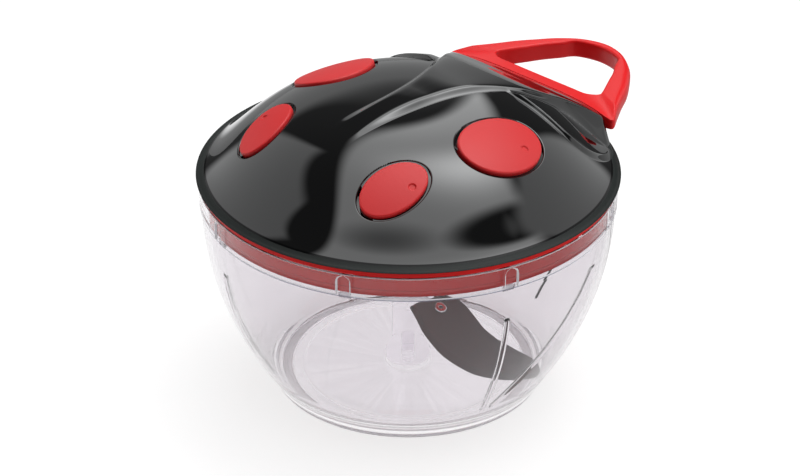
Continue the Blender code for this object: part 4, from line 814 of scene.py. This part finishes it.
shell = {
    "radius": 75.0 * mm,
    "lipWidth": 0.9 * mm,
    "lip": 0.4 * mm,
    "wall": 2.4 * mm,
    "rise": 26.8 * mm,
    "power": 4.0,
    "soft": 1.52,
    "saddleProud": 1.8 * mm,
    "saddleStart": 35.0 * mm,
    "saddleCurve": 2.4,
    "saddleNarrow": 4.0 * mm,
    "saddleBlend": 8.0 * mm,
    "saddleInset": 1.2 * mm,
    "saddleFlare": 21.4 * mm,
    "flareLength": 13.4 * mm,
    "flick": 5.0 * mm,
    "flickLength": 13.0 * mm,
    "edgeDrop": 3.4 * mm,
    "ridgeFall": 11.0 * mm,
    "ridgeNarrow": 2.6 * mm,    # width of the fall along the front of the ridge
    "ridgeWiden": 38.0 * mm,    # from here it widens to the full fall
    "ridgeWide": 60.0 * mm,
    "ridgeRound": 0.5 * mm,
    "ridgePower": 1.5,
    "ridgeLift": 0.8 * mm,      # of the crest behind the dome's top
    "liftOn": (5.0 * mm, 20.0 * mm),        # where along the saddle it starts, and over what length
    "liftOff": (38.0 * mm, 12.0 * mm),
    "rimFade": (0.955, 0.045),              # shares of the radius where the saddle and the block end
    "blockRise": 1.5 * mm,
    "blockLength": 31.8 * mm,
    "blockInset": 20.8 * mm,
    "blockRound": 9.6 * mm,
    "blockBlend": 8.0 * mm,
    "blockTaper": 1.8 * mm,
    "blockTaperFrom": 24.0 * mm,
    "blockSpan": 10.0 * mm,
    "blockEdge": 1.6 * mm,
    "tailInset": 12.0 * mm,
    "tailShelf": 5.9 * mm,
    "barHeight": 7.7 * mm,
    "mesh": 0.75 * mm,
    "creaseMesh": 0.32 * mm,
    "creaseReach": (-1.8 * mm, 4.2 * mm),   # of the finer mesh, from the saddle's half width
    "creaseMargin": 0.8 * mm,               # of the finer mesh, beside the block's edge
    "pocketMargin": 5.0 * mm,               # round a pad, within which the inside is lower
    "pocketSink": 3.2 * mm,
    "shelfMargin": 7.0 * mm,
}
shellEdge = ringTop + gap
domeBase = shellEdge + shell["lip"]
tailY = shell["radius"] - shell["tailInset"]
tailHalf = math.sqrt(shell["radius"] ** 2 - tailY ** 2)
shelfTop = shellEdge + shell["tailShelf"]
barTop = shelfTop + shell["barHeight"]
saddleRise = shell["rise"] + shell["saddleProud"]
saddleDrop = domeBase + saddleRise - barTop
saddleWide = tailHalf - shell["saddleInset"]
saddleFront = shell["radius"] - shell["saddleStart"]


def saddleHalf(y):
    # Half width of the saddle: a narrow front that flares to the wide tail, and turns out at its end.
    along = (y - tailY + shell["saddleFlare"]) / shell["flareLength"]
    flick = shell["flick"] * smoothStep((y - tailY + shell["flickLength"]) / shell["flickLength"])
    return shell["saddleNarrow"] + (saddleWide - shell["saddleNarrow"]) / (1.0 + np.exp(-along)) + flick


def softMax(value, width):
    # The larger of a value and 0, with the corner rounded over a width.
    return 0.5 * (value + np.sqrt(value ** 2 + width ** 2))


def ridgeFall(y):
    # Width of the fall beside the ridge.
    share = smoothStep((y - shell["ridgeWiden"]) / (shell["ridgeWide"] - shell["ridgeWiden"]))
    return shell["ridgeNarrow"] + (shell["ridgeFall"] - shell["ridgeNarrow"]) * share


def insideBlock(side, y):
    # How far a point is inside the tail block: the lesser of its distances from the block's front and
    # from its flank, which comes in towards the tail, with the corner between them rounded.
    ahead = y - tailY + shell["blockLength"]
    behind = np.maximum(y - tailY + shell["blockTaperFrom"], 0.0) / shell["blockSpan"]
    within = shell["radius"] - shell["blockInset"] - shell["blockTaper"] * behind ** 2 - side
    return 0.5 * (ahead + within - np.sqrt((ahead - within) ** 2 + shell["blockRound"] ** 2))


def nearCrease(x, y):
    # Where the shell turns sharply: along the saddle's ridge and the block's edge.
    side = np.abs(x)
    beyond = side - saddleHalf(y)
    (low, high), margin = shell["creaseReach"], shell["creaseMargin"]
    ridge = (beyond > low) & (beyond < high) & (y > -saddleFront)
    within = insideBlock(side, y)
    edge = (within > -margin) & (within < shell["blockEdge"] + margin) & (side > saddleHalf(y))
    return ridge | edge


def shellRise(x, y):
    # Dome: rise times (1 - share of radius to the fourth) to a power. The saddle stands over it
    # inside its half width and falls away beside its ridge; the tail block is a low step.
    radius = np.hypot(x, y) / shell["radius"]
    side = np.abs(x)
    dome = shell["rise"] * np.maximum(1.0 - radius ** shell["power"], 0.0) ** shell["soft"]
    wing = shell["rise"] * (1.0 - (saddleFront / shell["radius"]) ** shell["power"]) ** shell["soft"]
    crest = saddleRise - (saddleRise - wing) * (np.minimum(y, 0.0) / saddleFront) ** 2
    crest = crest - saddleDrop * (np.maximum(y, 0.0) / tailY) ** shell["saddleCurve"]
    crest = crest - shell["edgeDrop"] * (side / saddleWide) ** 4
    lifted, dropped = (smoothStep((y - at) / span) for at, span in (shell["liftOn"], shell["liftOff"]))
    crest = crest + shell["ridgeLift"] * (lifted * (1.0 - dropped))
    beyond = side - saddleHalf(y)
    past = np.minimum(softMax(beyond, shell["ridgeRound"]) / ridgeFall(y), 1.0)
    rimFrom, rimSpan = shell["rimFade"]
    rim = 1.0 - np.clip((radius - rimFrom) / rimSpan, 0.0, 1.0) ** 2
    start = smoothStep((y + saddleFront - 2.0 * mm) / shell["saddleBlend"])
    raised = softMax(crest - dome, 0.12 * mm) * (1.0 - past) ** shell["ridgePower"] * rim * start
    block = smoothStep(insideBlock(side, y) / shell["blockEdge"]) * rim
    block = block * smoothStep(beyond / shell["blockBlend"])
    return dome + raised + shell["blockRise"] * block


def shellHeight(x, y):
    return domeBase + shellRise(x, y)


def shellNormal(x, y):
    # Upward normal of the shell, from its slope over a fifth of a millimetre.
    step = 0.1 * mm
    dx = (shellHeight(x + step, y) - shellHeight(x - step, y)) / (2.0 * step)
    dy = (shellHeight(x, y + step) - shellHeight(x, y - step)) / (2.0 * step)
    n = np.stack([-dx, -dy, np.ones_like(dx)], -1)
    return n / np.linalg.norm(n, axis=-1, keepdims=True)


# ---- spot pads

spots = {
    "gap": 0.9 * mm,
    "proud": 0.8 * mm,
    "edge": 0.6 * mm,
    "depth": 3.0 * mm,
    "lipRound": 0.75 * mm,
    "dimple": 1.4 * mm,
    "dimpleDepth": 0.5 * mm,
    "dimpleOut": 0.58,
    "dimpleTurn": 42.0,
    "rear": ((13.4 * mm, 16.4 * mm), (shell["radius"] - 34.1 * mm, 3.3 * mm), -3.0),
    "front": ((8.9 * mm, 13.2 * mm), (31.7 * mm, 35.6 * mm - shell["radius"]), -8.0),
}


def spotFrame(at, half, turn):
    # A frame on the plane through the dome at the pad's edge. X runs across the pad, Y along it.
    step = 2.0 * np.pi * np.arange(12) / 12.0
    c, s = math.cos(turn), math.sin(turn)
    u, v = half[0] * np.cos(step), half[1] * np.sin(step)
    x = at[0] + (c * u - s * v) * 0.95
    y = at[1] + (s * u + c * v) * 0.95
    ring = np.stack([x, y, shellHeight(x, y)], -1)
    centre = ring.mean(0)
    spread = ring - centre
    normal = Vector(np.cross(spread, np.roll(spread, -1, axis=0)).sum(0)).normalized()
    tilt = Vector((0.0, 0.0, 1.0)).rotation_difference(normal).to_matrix().to_4x4()
    return Matrix.Translation(centre) @ tilt @ Matrix.Rotation(turn, 4, "Z")


def spotList():
    for end in ("rear", "front"):
        half, at, turn = spots[end]
        for side, sign in (("left", -1.0), ("right", 1.0)):
            yield (end, side, sign, half,
                   np.array(spotFrame((sign * at[0], at[1]), half, sign * math.radians(turn))))


def toWorld(matrix, u, v, w):
    p = np.stack(np.broadcast_arrays(u, v, w), -1)
    return p @ matrix[:3, :3].T + matrix[:3, 3]


def ontoShell(matrix, u, v):
    # Points over (u, v) of a pad's frame, moved along its normal until they lie on the shell.
    w = np.zeros_like(u)
    for _ in range(12):
        p = toWorld(matrix, u, v, w)
        w = w + (shellHeight(p[..., 0], p[..., 1]) - p[..., 2]) * matrix[2, 2]
    return toWorld(matrix, u, v, w)


def ovalRing(half, grow, count):
    step = 2.0 * np.pi * np.arange(count) / count
    return (half[0] + grow) * np.cos(step), (half[1] + grow) * np.sin(step)


def toLocal(matrix, p):
    return (p - matrix[:3, 3]) @ matrix[:3, :3]


def shellPoints(arc, wall):
    # The shell's points in plan, with their heights, whether they have the dome's normal, and the edges
    # that the triangles keep: the boundary, rings round the pockets and a field over the rest.
    radius, lip = shell["radius"], spots["lipRound"]
    plan, height, onDome, edges, holes = [], [], [], [], []

    def add(xy, z, dome, loop=0):
        start = sum(len(part) for part in plan)
        plan.append(xy)
        height.append(z)
        onDome.append(np.full(len(xy), dome))
        edges.extend((start + i, start + (i + 1) % loop) for i in range(loop))
        return start

    # the dome's edge round the front, and the tail wall's top
    border = np.concatenate([arc, wall[1:-1]])
    add(border, shellHeight(*border.T), True, len(border))
    # the rings lie closer together towards the pocket's rounded lip
    outermost = 2.2
    for end, side, sign, half, matrix in spotList():
        count = 160 if end == "rear" else 128
        for share in (outermost, 1.5, 1.0, 0.72, 0.46, 0.25, 0.10, 0.0):
            grow = lip * share
            p = ontoShell(matrix, *ovalRing(half, spots["gap"] + grow, count))
            over = max(0.0, 1.0 - grow / lip)
            p = p - matrix[:3, 2] * lip * (1.0 - math.sqrt(1.0 - over ** 2))
            start = add(p[:, :2], p[:, 2], grow >= lip, 0 if share else count)
        holes.append((half, matrix, start, count, p))
    # the field's rows are set half a step apart
    wide, rowShare = shell["mesh"], 0.866   # of the pitch, between the rows
    spread = []
    for pitch, fine in ((wide, False), (shell["creaseMesh"], True)):
        size = 2.1 * radius
        i, j = np.meshgrid(np.arange(int(size / pitch)), np.arange(int(size / (pitch * rowShare))))
        x = (i + 0.5 * (j % 2)) * pitch - 1.05 * radius
        y = j * pitch * rowShare - 1.05 * radius
        keep = (np.hypot(x, y) < radius - 0.55 * wide) & (y < tailY - 0.4 * pitch)
        keep &= nearCrease(x, y) == fine
        spread.append(np.stack([x[keep], y[keep]], -1))
    x, y = np.concatenate(spread).T
    p = np.stack([x, y, shellHeight(x, y)], -1)
    keep = np.ones(len(p), bool)
    out = spots["gap"] + lip * outermost + 0.4 * wide
    for half, matrix, start, count, ring in holes:
        local = toLocal(matrix, p)
        keep &= np.hypot(local[:, 0] / (half[0] + out), local[:, 1] / (half[1] + out)) > 1.0
    p = p[keep]
    add(p[:, :2], p[:, 2], True)
    return np.concatenate(plan), np.concatenate(height), np.concatenate(onDome), edges, holes


def joinPlan(plan, edges, holes):
    # Triangles between the points in plan, none of them in a pocket or past the boundary.
    places = [Vector(p) for p in (plan / mm).tolist()]
    _, _, tris, origin, _, _ = delaunay_2d_cdt(places, edges, [], 0, 1e-6)
    first = np.array([ids[0] if ids else -1 for ids in origin])
    tris = first[np.array([tuple(t) for t in tris])]
    tris = tris[(tris >= 0).all(1)]
    middle = plan[tris].mean(1)
    keep = (np.hypot(*middle.T) < shell["radius"]) & (middle[:, 1] < tailY)
    for half, matrix, start, count, p in holes:
        keep &= ~((tris >= start) & (tris < start + count)).all(1)
    tris = tris[keep]
    a, b, c = plan[tris].transpose(1, 0, 2)
    down = (b[:, 0] - a[:, 0]) * (c[:, 1] - a[:, 1]) - (b[:, 1] - a[:, 1]) * (c[:, 0] - a[:, 0]) < 0
    tris[down] = tris[down][:, ::-1]
    return tris


def makeTopShell():
    radius, wall, lipWidth = shell["radius"], shell["wall"], shell["lipWidth"]
    startTurn, endTurn = math.atan2(tailY, -tailHalf), math.atan2(tailY, tailHalf) + 2.0 * math.pi
    turns = np.linspace(startTurn, endTurn, 420)
    arc = np.stack([radius * np.cos(turns), radius * np.sin(turns)], -1)
    wallX = np.linspace(tailHalf, -tailHalf, 110)
    wallY = np.full_like(wallX, tailY)
    plan, height, onDome, edges, holes = shellPoints(arc, np.stack([wallX, wallY], -1))
    tris = joinPlan(plan, edges, holes)
    points, faces = [np.column_stack([plan, height])], tris.tolist()

    def addGrid(rows, closed, flip=False):
        made = gridFaces(*rows.shape[:2], sum(len(part) for part in points), closed)
        points.append(rows.reshape(-1, 3))
        faces.extend([face[::-1] for face in made] if flip else made)

    # pocket walls down to their floors
    floor = -spots["depth"]
    for half, matrix, start, count, p in holes:
        u, v, w = toLocal(matrix, p).T
        rows = [p] + [toWorld(matrix, u, v, w + (floor - w) * share) for share in (0.5, 1.0)]
        rows += [toWorld(matrix, u * inward, v * inward, floor) for inward in (0.96, 0.6, 0.25, 0.0)]
        addGrid(np.array(rows)[:, ::-1], True, True)
    # the tail wall, the shelf behind it and the lip all round
    top = shellHeight(wallX, wallY)
    shelf = np.minimum(top, shelfTop)
    levels = [shelf + (top - shelf) * share for share in (1.0, 0.75, 0.5, 0.25, 0.0)]
    addGrid(np.array([np.column_stack([wallX, wallY, z]) for z in levels]), False, True)
    rows = []
    for s in np.linspace(0.0, 1.0, 12):
        y = tailY + (np.sqrt(np.maximum(radius ** 2 - wallX ** 2, 0.0)) - tailY) * s
        rows.append(np.column_stack([wallX, y, np.minimum(shellHeight(wallX, y), shelfTop)]))
    addGrid(np.array(rows), False)
    x, y = rows[-1][:-1, :2].T
    ring = np.concatenate([turns[:-1], np.mod(np.arctan2(y, x), 2.0 * np.pi)])
    lipPath = np.array([
        (radius, domeBase),
        (radius + 0.45 * lipWidth, domeBase - 0.03 * mm),
        (radius + 0.82 * lipWidth, domeBase - 0.12 * mm),
        (radius + lipWidth, domeBase - 0.28 * mm),
        (radius + lipWidth, shellEdge + 0.06 * mm),
        (radius + 0.9 * lipWidth, shellEdge),
        (radius - wall, shellEdge),
        (radius - wall, domeBase + 0.4 * mm),
    ])
    addGrid(turnedGrid(lipPath, ring).reshape(len(lipPath), len(ring), 3)[::-1], True)
    # inside, well under the outside and lower still beneath the pockets and the shelf
    rows, margin = [turnedGrid(lipPath[-1:], ring)], shell["pocketMargin"]
    for share in np.linspace(0.965, 0.0, 14):
        x, y = radius * share * np.cos(ring), radius * share * np.sin(ring)
        z = shellHeight(x, y) - wall - 0.4 * mm
        for half, matrix, start, count, p in holes:
            local = toLocal(matrix, np.stack([x, y, z], -1))
            near = np.hypot(local[:, 0] / (half[0] + margin), local[:, 1] / (half[1] + margin))
            z = z - shell["pocketSink"] * (1.0 - smoothStep((near - 0.9) / 0.35))
        z = np.minimum(z, np.where(y > tailY - shell["shelfMargin"], shelfTop - wall, 1.0))
        rows.append(np.column_stack([x, y, np.maximum(z, domeBase + 0.2 * mm)]))
    addGrid(np.array(rows), True)
    normals = np.zeros((len(plan), 3))
    normals[onDome] = shellNormal(*plan[onDome].T)
    made = piece("topShell", np.concatenate(points), faces, "lid", "blackMirror",
                 ["top_shell"], 40.0, normals, len(tris))
    addPaintedBevelReflection(finish("blackMirror"))
    print("top shell:", len(made.data.vertices), "points,", len(made.data.polygons), "faces")


makeTopShell()


def makePads():
    # A pad: oval rings from its underside up the wall, over a rounded edge and in to the middle.
    count = 144
    bottom, edge = gap - spots["depth"], spots["edge"]
    dimple, turn = spots["dimple"], math.radians(spots["dimpleTurn"])
    for end, side, sign, half, matrix in spotList():
        rows = [toWorld(matrix, *np.zeros((2, count)), bottom)]
        for grow, rise in ((-0.5 * half[0], 0.0), (-0.3 * mm, 0.0), (0.0, 0.3 * mm)):
            rows.append(toWorld(matrix, *ovalRing(half, grow, count), bottom + rise))
        for inset in (0.0, 0.04, 0.14, 0.30, 0.52, 0.78, 1.0, 1.25):
            p = ontoShell(matrix, *ovalRing(half, -inset * edge, count))
            fall = edge * (1.0 - math.sqrt(1.0 - min(1.0, max(0.0, 1.0 - inset)) ** 2))
            rows.append(p + matrix[:3, 2] * (spots["proud"] - fall))
        # from the edge the rings shrink towards a small circle round the dimple, and then into it
        dimpleAt = np.array((sign * half[0] * math.cos(turn), half[1] * math.sin(turn)))
        dimpleAt = dimpleAt * spots["dimpleOut"]
        ahead = np.stack(ovalRing(half, -1.25 * edge, count), -1) - dimpleAt
        reach = np.linalg.norm(ahead, axis=1)
        ahead /= reach[:, None]
        radii = [dimple * 1.4 + (reach - dimple * 1.4) * t for t in np.linspace(0.95, 0.0, 20)]
        for share in (1.2, 1.08, 1.02, 0.94, 0.86, 0.78, 0.6, 0.3, 0.0):
            radii.append(np.full(count, dimple * share))
        for radius in radii:
            p = ontoShell(matrix, *(dimpleAt + ahead * radius[:, None]).T)
            sink = spots["dimpleDepth"] * (1.0 - smoothStep((radius / dimple - 0.78) / 0.26))
            rows.append(p + matrix[:3, 2] * (spots["proud"] - sink)[:, None])
        piece("spotPad_%s_%s" % (end, side), np.array(rows).reshape(-1, 3), gridFaces(len(rows), count),
              "lid", "redSoft", ["spot_pad_%s_%s" % (end, side)], 60.0)


makePads()
print("pads ready")

# ---- handle

handle = {
    "length": 45.2 * mm,
    "inset": 1.0 * mm,
    "opening": 0.61,
    "barDepth": 7.0 * mm,
    "gripWall": 4.3 * mm,
    "gripThick": 7.0 * mm,
    "gripDrop": 1.3 * mm,
    "edge": 3.0 * mm,
    "under": 1.8 * mm,
    "dropFrom": 76.5 * mm,      # distance from the axis past which the grip reaches lower
    "dropSpan": 3.0 * mm,
}
handleHalf = tailHalf - handle["inset"]
cordRadius = 1.1 * mm
cordHole = cordRadius + 0.5 * mm
cordZ = shelfTop + gap + cordHole + 1.1 * mm + gap


def makeHandle():
    # The loop's rim and its opening are two closed curves, given as shares of the handle's size. The
    # section between them has four rounded corners.
    front = tailY + gap
    length, half = handle["length"], handleHalf
    inner = front + handle["barDepth"]
    opening = handle["opening"] * half
    reach = front + length - handle["gripWall"] - inner
    outerRim = [(x * half, front) for x in (0.0, 0.3, 0.58, 0.8, 0.93)]
    outerRim += [(x * half, front + y * length) for x, y in (
        (1.022, 0.03), (0.932, 0.17), (0.826, 0.33), (0.723, 0.50), (0.597, 0.66), (0.454, 0.81),
        (0.231, 0.945), (0.0, 1.0))]
    innerRim = [(x * opening, inner) for x in (0.0, 0.31, 0.62, 0.84)]
    innerRim.append((0.96 * opening, inner + 0.9 * mm))
    innerRim += [(x * opening, inner + y * reach) for x, y in (
        (1.055, 0.09), (1.019, 0.18), (0.932, 0.30), (0.827, 0.44), (0.713, 0.60), (0.559, 0.77),
        (0.411, 0.93), (0.0, 1.0))]
    both = np.array([(*a, *b) for a, b in zip(outerRim, innerRim)])
    mirrored = both[1:-1][::-1] * np.array((-1.0, 1.0, -1.0, 1.0))
    sections = smoothLoop(np.concatenate([both, mirrored]), 300)
    outer, inside = sections[:, :2], sections[:, 2:]
    outer[:, 1] = np.maximum(outer[:, 1], front)

    def topAt(x, y):
        slope = np.clip((y - front) / handle["barDepth"], 0.0, 1.0)
        ends = shell["edgeDrop"] * np.minimum(np.abs(x) / saddleWide, 1.05) ** 4 * (1.0 - slope)
        return barTop - handle["gripDrop"] * slope - ends

    # the bar stands on the shelf, and past the lid's edge the grip reaches a little lower
    past = np.hypot(*(0.5 * (outer + inside)).T) - handle["dropFrom"]
    past = smoothStep(past / handle["dropSpan"])
    low = shelfTop + gap - past * (shelfTop + gap - barTop + handle["gripDrop"] + handle["gripThick"])
    corners = np.stack([np.column_stack(part) for part in (
        (inside, low), (outer, low), (outer, topAt(*outer.T)), (inside, topAt(*inside.T)))], 1)
    # each corner is rounded by a bow between points near it on its two sides
    before, after = np.roll(corners, 1, axis=1) - corners, np.roll(corners, -1, axis=1) - corners
    free = smoothStep((outer[:, 1] - front) / (5.0 * mm))
    softness = np.stack([np.full_like(free, 1.0 * mm), 0.5 * mm + handle["under"] * free,
                         0.3 * mm + handle["edge"] * free, 0.5 * mm + 0.8 * mm * free], 1)[..., None]
    a, b = (side * np.minimum(softness / np.linalg.norm(side, axis=2, keepdims=True), 0.47)
            for side in (before, after))
    t = np.linspace(0.0, 1.0, 9)[None, None, :, None]
    rounded = corners[:, :, None] + a[:, :, None] * (1.0 - t) ** 2 + b[:, :, None] * t ** 2
    points = rounded.reshape(len(corners), -1, 3)
    points = np.concatenate([points, points[:1]])
    faces = [face[::-1] for face in gridFaces(*points.shape[:2])]
    piece("pullHandle", points.reshape(-1, 3), faces, "handle", "redGloss",
          ["pull_handle"], 75.0)


makeHandle()
print("handle ready")

# ---- cord

cord = {
    "from": (14.41 * mm, 14.23 * mm, 94.55 * mm),
    "bend": 60.3 * mm,
    "holdFrom": 60.6 * mm,      # up to here the cord stays with the lid
    "holdTo": 65.3 * mm,        # and from here it goes with the handle
    "knotAt": 66.8 * mm,
    "knot": 2.0 * mm,
    "strands": 8,
    "lay": 7.0 * mm,            # length of one turn of a strand
    "bump": 0.06,
    "pull": 0.45,
}


def makeCord():
    # A tube on the cord's line, then its knot. A ring's place in the braid is where it lies when the
    # handle is pulled right out, so the rings are close together between the two holds.
    start, bend, knot, knotAt = np.array(cord["from"]), cord["bend"], cord["knot"], cord["knotAt"]
    hold = np.array((cord["holdFrom"], cord["holdTo"]))
    lead = np.linspace(0.0, 1.0, 90)[:-1]
    inLid = start + (np.array((0.0, bend, cordZ)) - start) * lead[:, None]
    y = np.unique(np.concatenate([[bend], np.linspace(*hold, 420),
                                  np.linspace(knotAt - knot + 0.55 * mm, knotAt + knot, 36)[1:]]))
    line = np.concatenate([inLid, np.column_stack([np.zeros_like(y), y, np.full_like(y, cordZ)])])
    step = np.linalg.norm(np.diff(line, axis=0), axis=1)
    held = smoothStep((line[:, 1] - hold[0]) / (hold[1] - hold[0]))
    along = np.concatenate([[0.0], np.cumsum(step)]) + cord["pull"] * held
    ball = np.sqrt(np.maximum(knot ** 2 - (line[:, 1] - knotAt) ** 2, 0.0))
    width = np.where(line[:, 1] > knotAt, ball, np.maximum(cordRadius, ball))
    width[0] = 0.0
    ahead = np.gradient(line, axis=0)
    ahead /= np.linalg.norm(ahead, axis=1, keepdims=True)
    side = np.cross(ahead, (0.0, 0.0, 1.0))
    side /= np.linalg.norm(side, axis=1, keepdims=True)
    up = np.cross(ahead, side)
    turn = np.linspace(0.0, 2.0 * np.pi, 48, endpoint=False)[None, :]
    twist = 2.0 * np.pi * along[:, None] / cord["lay"]
    count = cord["strands"] / 2.0
    over = np.abs(np.sin(count * turn + twist)) * np.abs(np.sin(count * turn - twist))
    reach = width[:, None] * (1.0 - cord["bump"] + cord["bump"] * over)
    points = (line[:, None] + side[:, None] * (reach * np.cos(turn))[..., None]
              + up[:, None] * (reach * np.sin(turn))[..., None])
    made = piece("pullCord", points.reshape(-1, 3), gridFaces(*points.shape[:2]), None,
                 "cordWhite", ["cord_run", "cord_end"], 60.0)
    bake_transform(made)


makeCord()
print("cord ready")

# ---- blades

blades = {
    "thick": 1.2 * mm,
    "edgeThick": 0.2 * mm,
    "bevel": 2.6 * mm,
    "lowerAt": 33.0 * mm,
    "lowerFall": 0.45,
    "upperAt": 47.0 * mm,
    "upperFall": 0.12,
    "seatThick": 2.6 * mm,
    "rivetOut": 13.6 * mm,
    "rivetSide": 4.0 * mm,
    "rivetRadius": 1.5 * mm,
    "rivetHead": 2.4 * mm,
    "rivetBore": 0.8 * mm,
}
bladeReach = bowl["footRadius"] * math.hypot(1.0, blades["lowerFall"])


def bladeFrame(at, fall, turn):
    tilt = Matrix.Rotation(math.atan(fall), 4, "Y")
    return Matrix.Rotation(math.radians(turn), 4, "Z") @ Matrix.Translation((0.0, 0.0, at)) @ tilt


def makeBlade(name, matrix):
    # The blade is ruled between its cutting edge and its back, which share their ends. It is bevelled
    # on the upper face only, and the lower face stays flat.
    edge = np.array([
        (0.131, -0.102), (0.230, -0.131), (0.328, -0.164), (0.438, -0.179), (0.547, -0.179),
        (0.666, -0.144), (0.766, -0.091), (0.843, -0.015), (0.905, 0.066), (0.956, 0.164),
        (0.998, 0.263), (1.0, 0.300)])
    back = np.array([
        (0.131, -0.095), (0.150, 0.120), (0.171, 0.193), (0.281, 0.248), (0.398, 0.244),
        (0.522, 0.230), (0.620, 0.244), (0.704, 0.277), (0.792, 0.314), (0.868, 0.350),
        (0.937, 0.357), (0.985, 0.328), (1.0, 0.305)])
    n = 110
    cut, spine = (smoothLoop(line * bladeReach, n, closed=False) for line in (edge, back))
    width = np.linalg.norm(spine - cut, axis=1)
    slope = np.minimum(blades["bevel"], 0.45 * width)
    flat = width - 1.15 * slope - 0.05 * mm
    outs = [slope * level for level in (0.0, 0.25, 0.5, 0.75, 1.0, 1.15)]
    outs += [1.15 * slope + flat * share for share in np.linspace(0.0, 1.0, 10)[1:]]
    half, thin = 0.5 * blades["thick"], 0.5 * blades["edgeThick"]
    upper, lower = [], []
    for out in outs:
        share = np.clip(out / np.maximum(width, 1e-6), 0.0, 1.0)
        lift = thin * 2.0 - half + (2.0 * half - 2.0 * thin) * np.clip(out / slope.clip(1e-6), 0.0, 1.0)
        xy = cut + (spine - cut) * share[:, None]
        upper.append(np.column_stack([xy, lift]))
        lower.append(np.column_stack([xy, np.full(n, -half)]))
    grid = np.array(upper + lower[::-1])
    rows = len(grid)
    faces = gridFaces(rows, n, closed=False)
    last = (rows - 1) * n
    faces += [[last + i, last + i + 1, i + 1, i] for i in range(n - 1)]
    faces += [[r * n for r in range(rows)], [r * n + n - 1 for r in range(rows)][::-1]]
    piece(name + "Blade", carry(grid.reshape(-1, 3), matrix), [face[::-1] for face in faces],
          "blades", "darkSteel", [name + "_blade"], 30.0)


def makeBlades():
    half = 0.5 * blades["thick"]
    head, bore, shank, cap = blades["rivetHead"], blades["rivetBore"], blades["rivetRadius"], 0.6 * mm
    top, bottom = half + gap, -half - 2.0 * gap - blades["seatThick"]
    rivet = softPath([
        (bore, bottom - cap, 0.2 * mm), (head, bottom - cap, 0.4 * mm), (head, bottom, 0.1 * mm),
        (shank, bottom, 0.0), (shank, top, 0.0), (head, top, 0.1 * mm),
        (head - 0.3 * mm, top + cap, 0.5 * mm), (bore, top + cap, 0.3 * mm)])
    for name, at, fall, turn in (("lower", blades["lowerAt"], blades["lowerFall"], 0.0),
                                 ("upper", blades["upperAt"], blades["upperFall"], 180.0)):
        matrix = bladeFrame(at, fall, turn)
        makeBlade(name, matrix)
        spot = matrix @ Matrix.Translation((blades["rivetOut"], blades["rivetSide"], 0.0))
        turnedPiece(name + "BladeRivet", rivet, "blades", "steel", [name + "_blade_rivet"], 48,
                    place=spot)


makeBlades()
print("blades ready")

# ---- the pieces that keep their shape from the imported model

looks = {
    "clear_plastic": "clearColumn", "clear_rubber": "frostedRubber",
    "grey_plastic": "greyPlastic", "white_plastic": "whitePlastic", "steel": "steel", "brass": "brass",
    "cord": "cordWhite", "red_plastic": "redGloss", "red_rubber": "redSoft",
    "black_plastic": "blackMirror", "blade_steel": "darkSteel",
}
for row in frame["record"]["subparts"]:
    node = frame["nodes"][row["node"]]
    node.data.materials.clear()
    node.data.materials.append(finish(looks[row["material_slot"]]))
print("packed pieces finished")
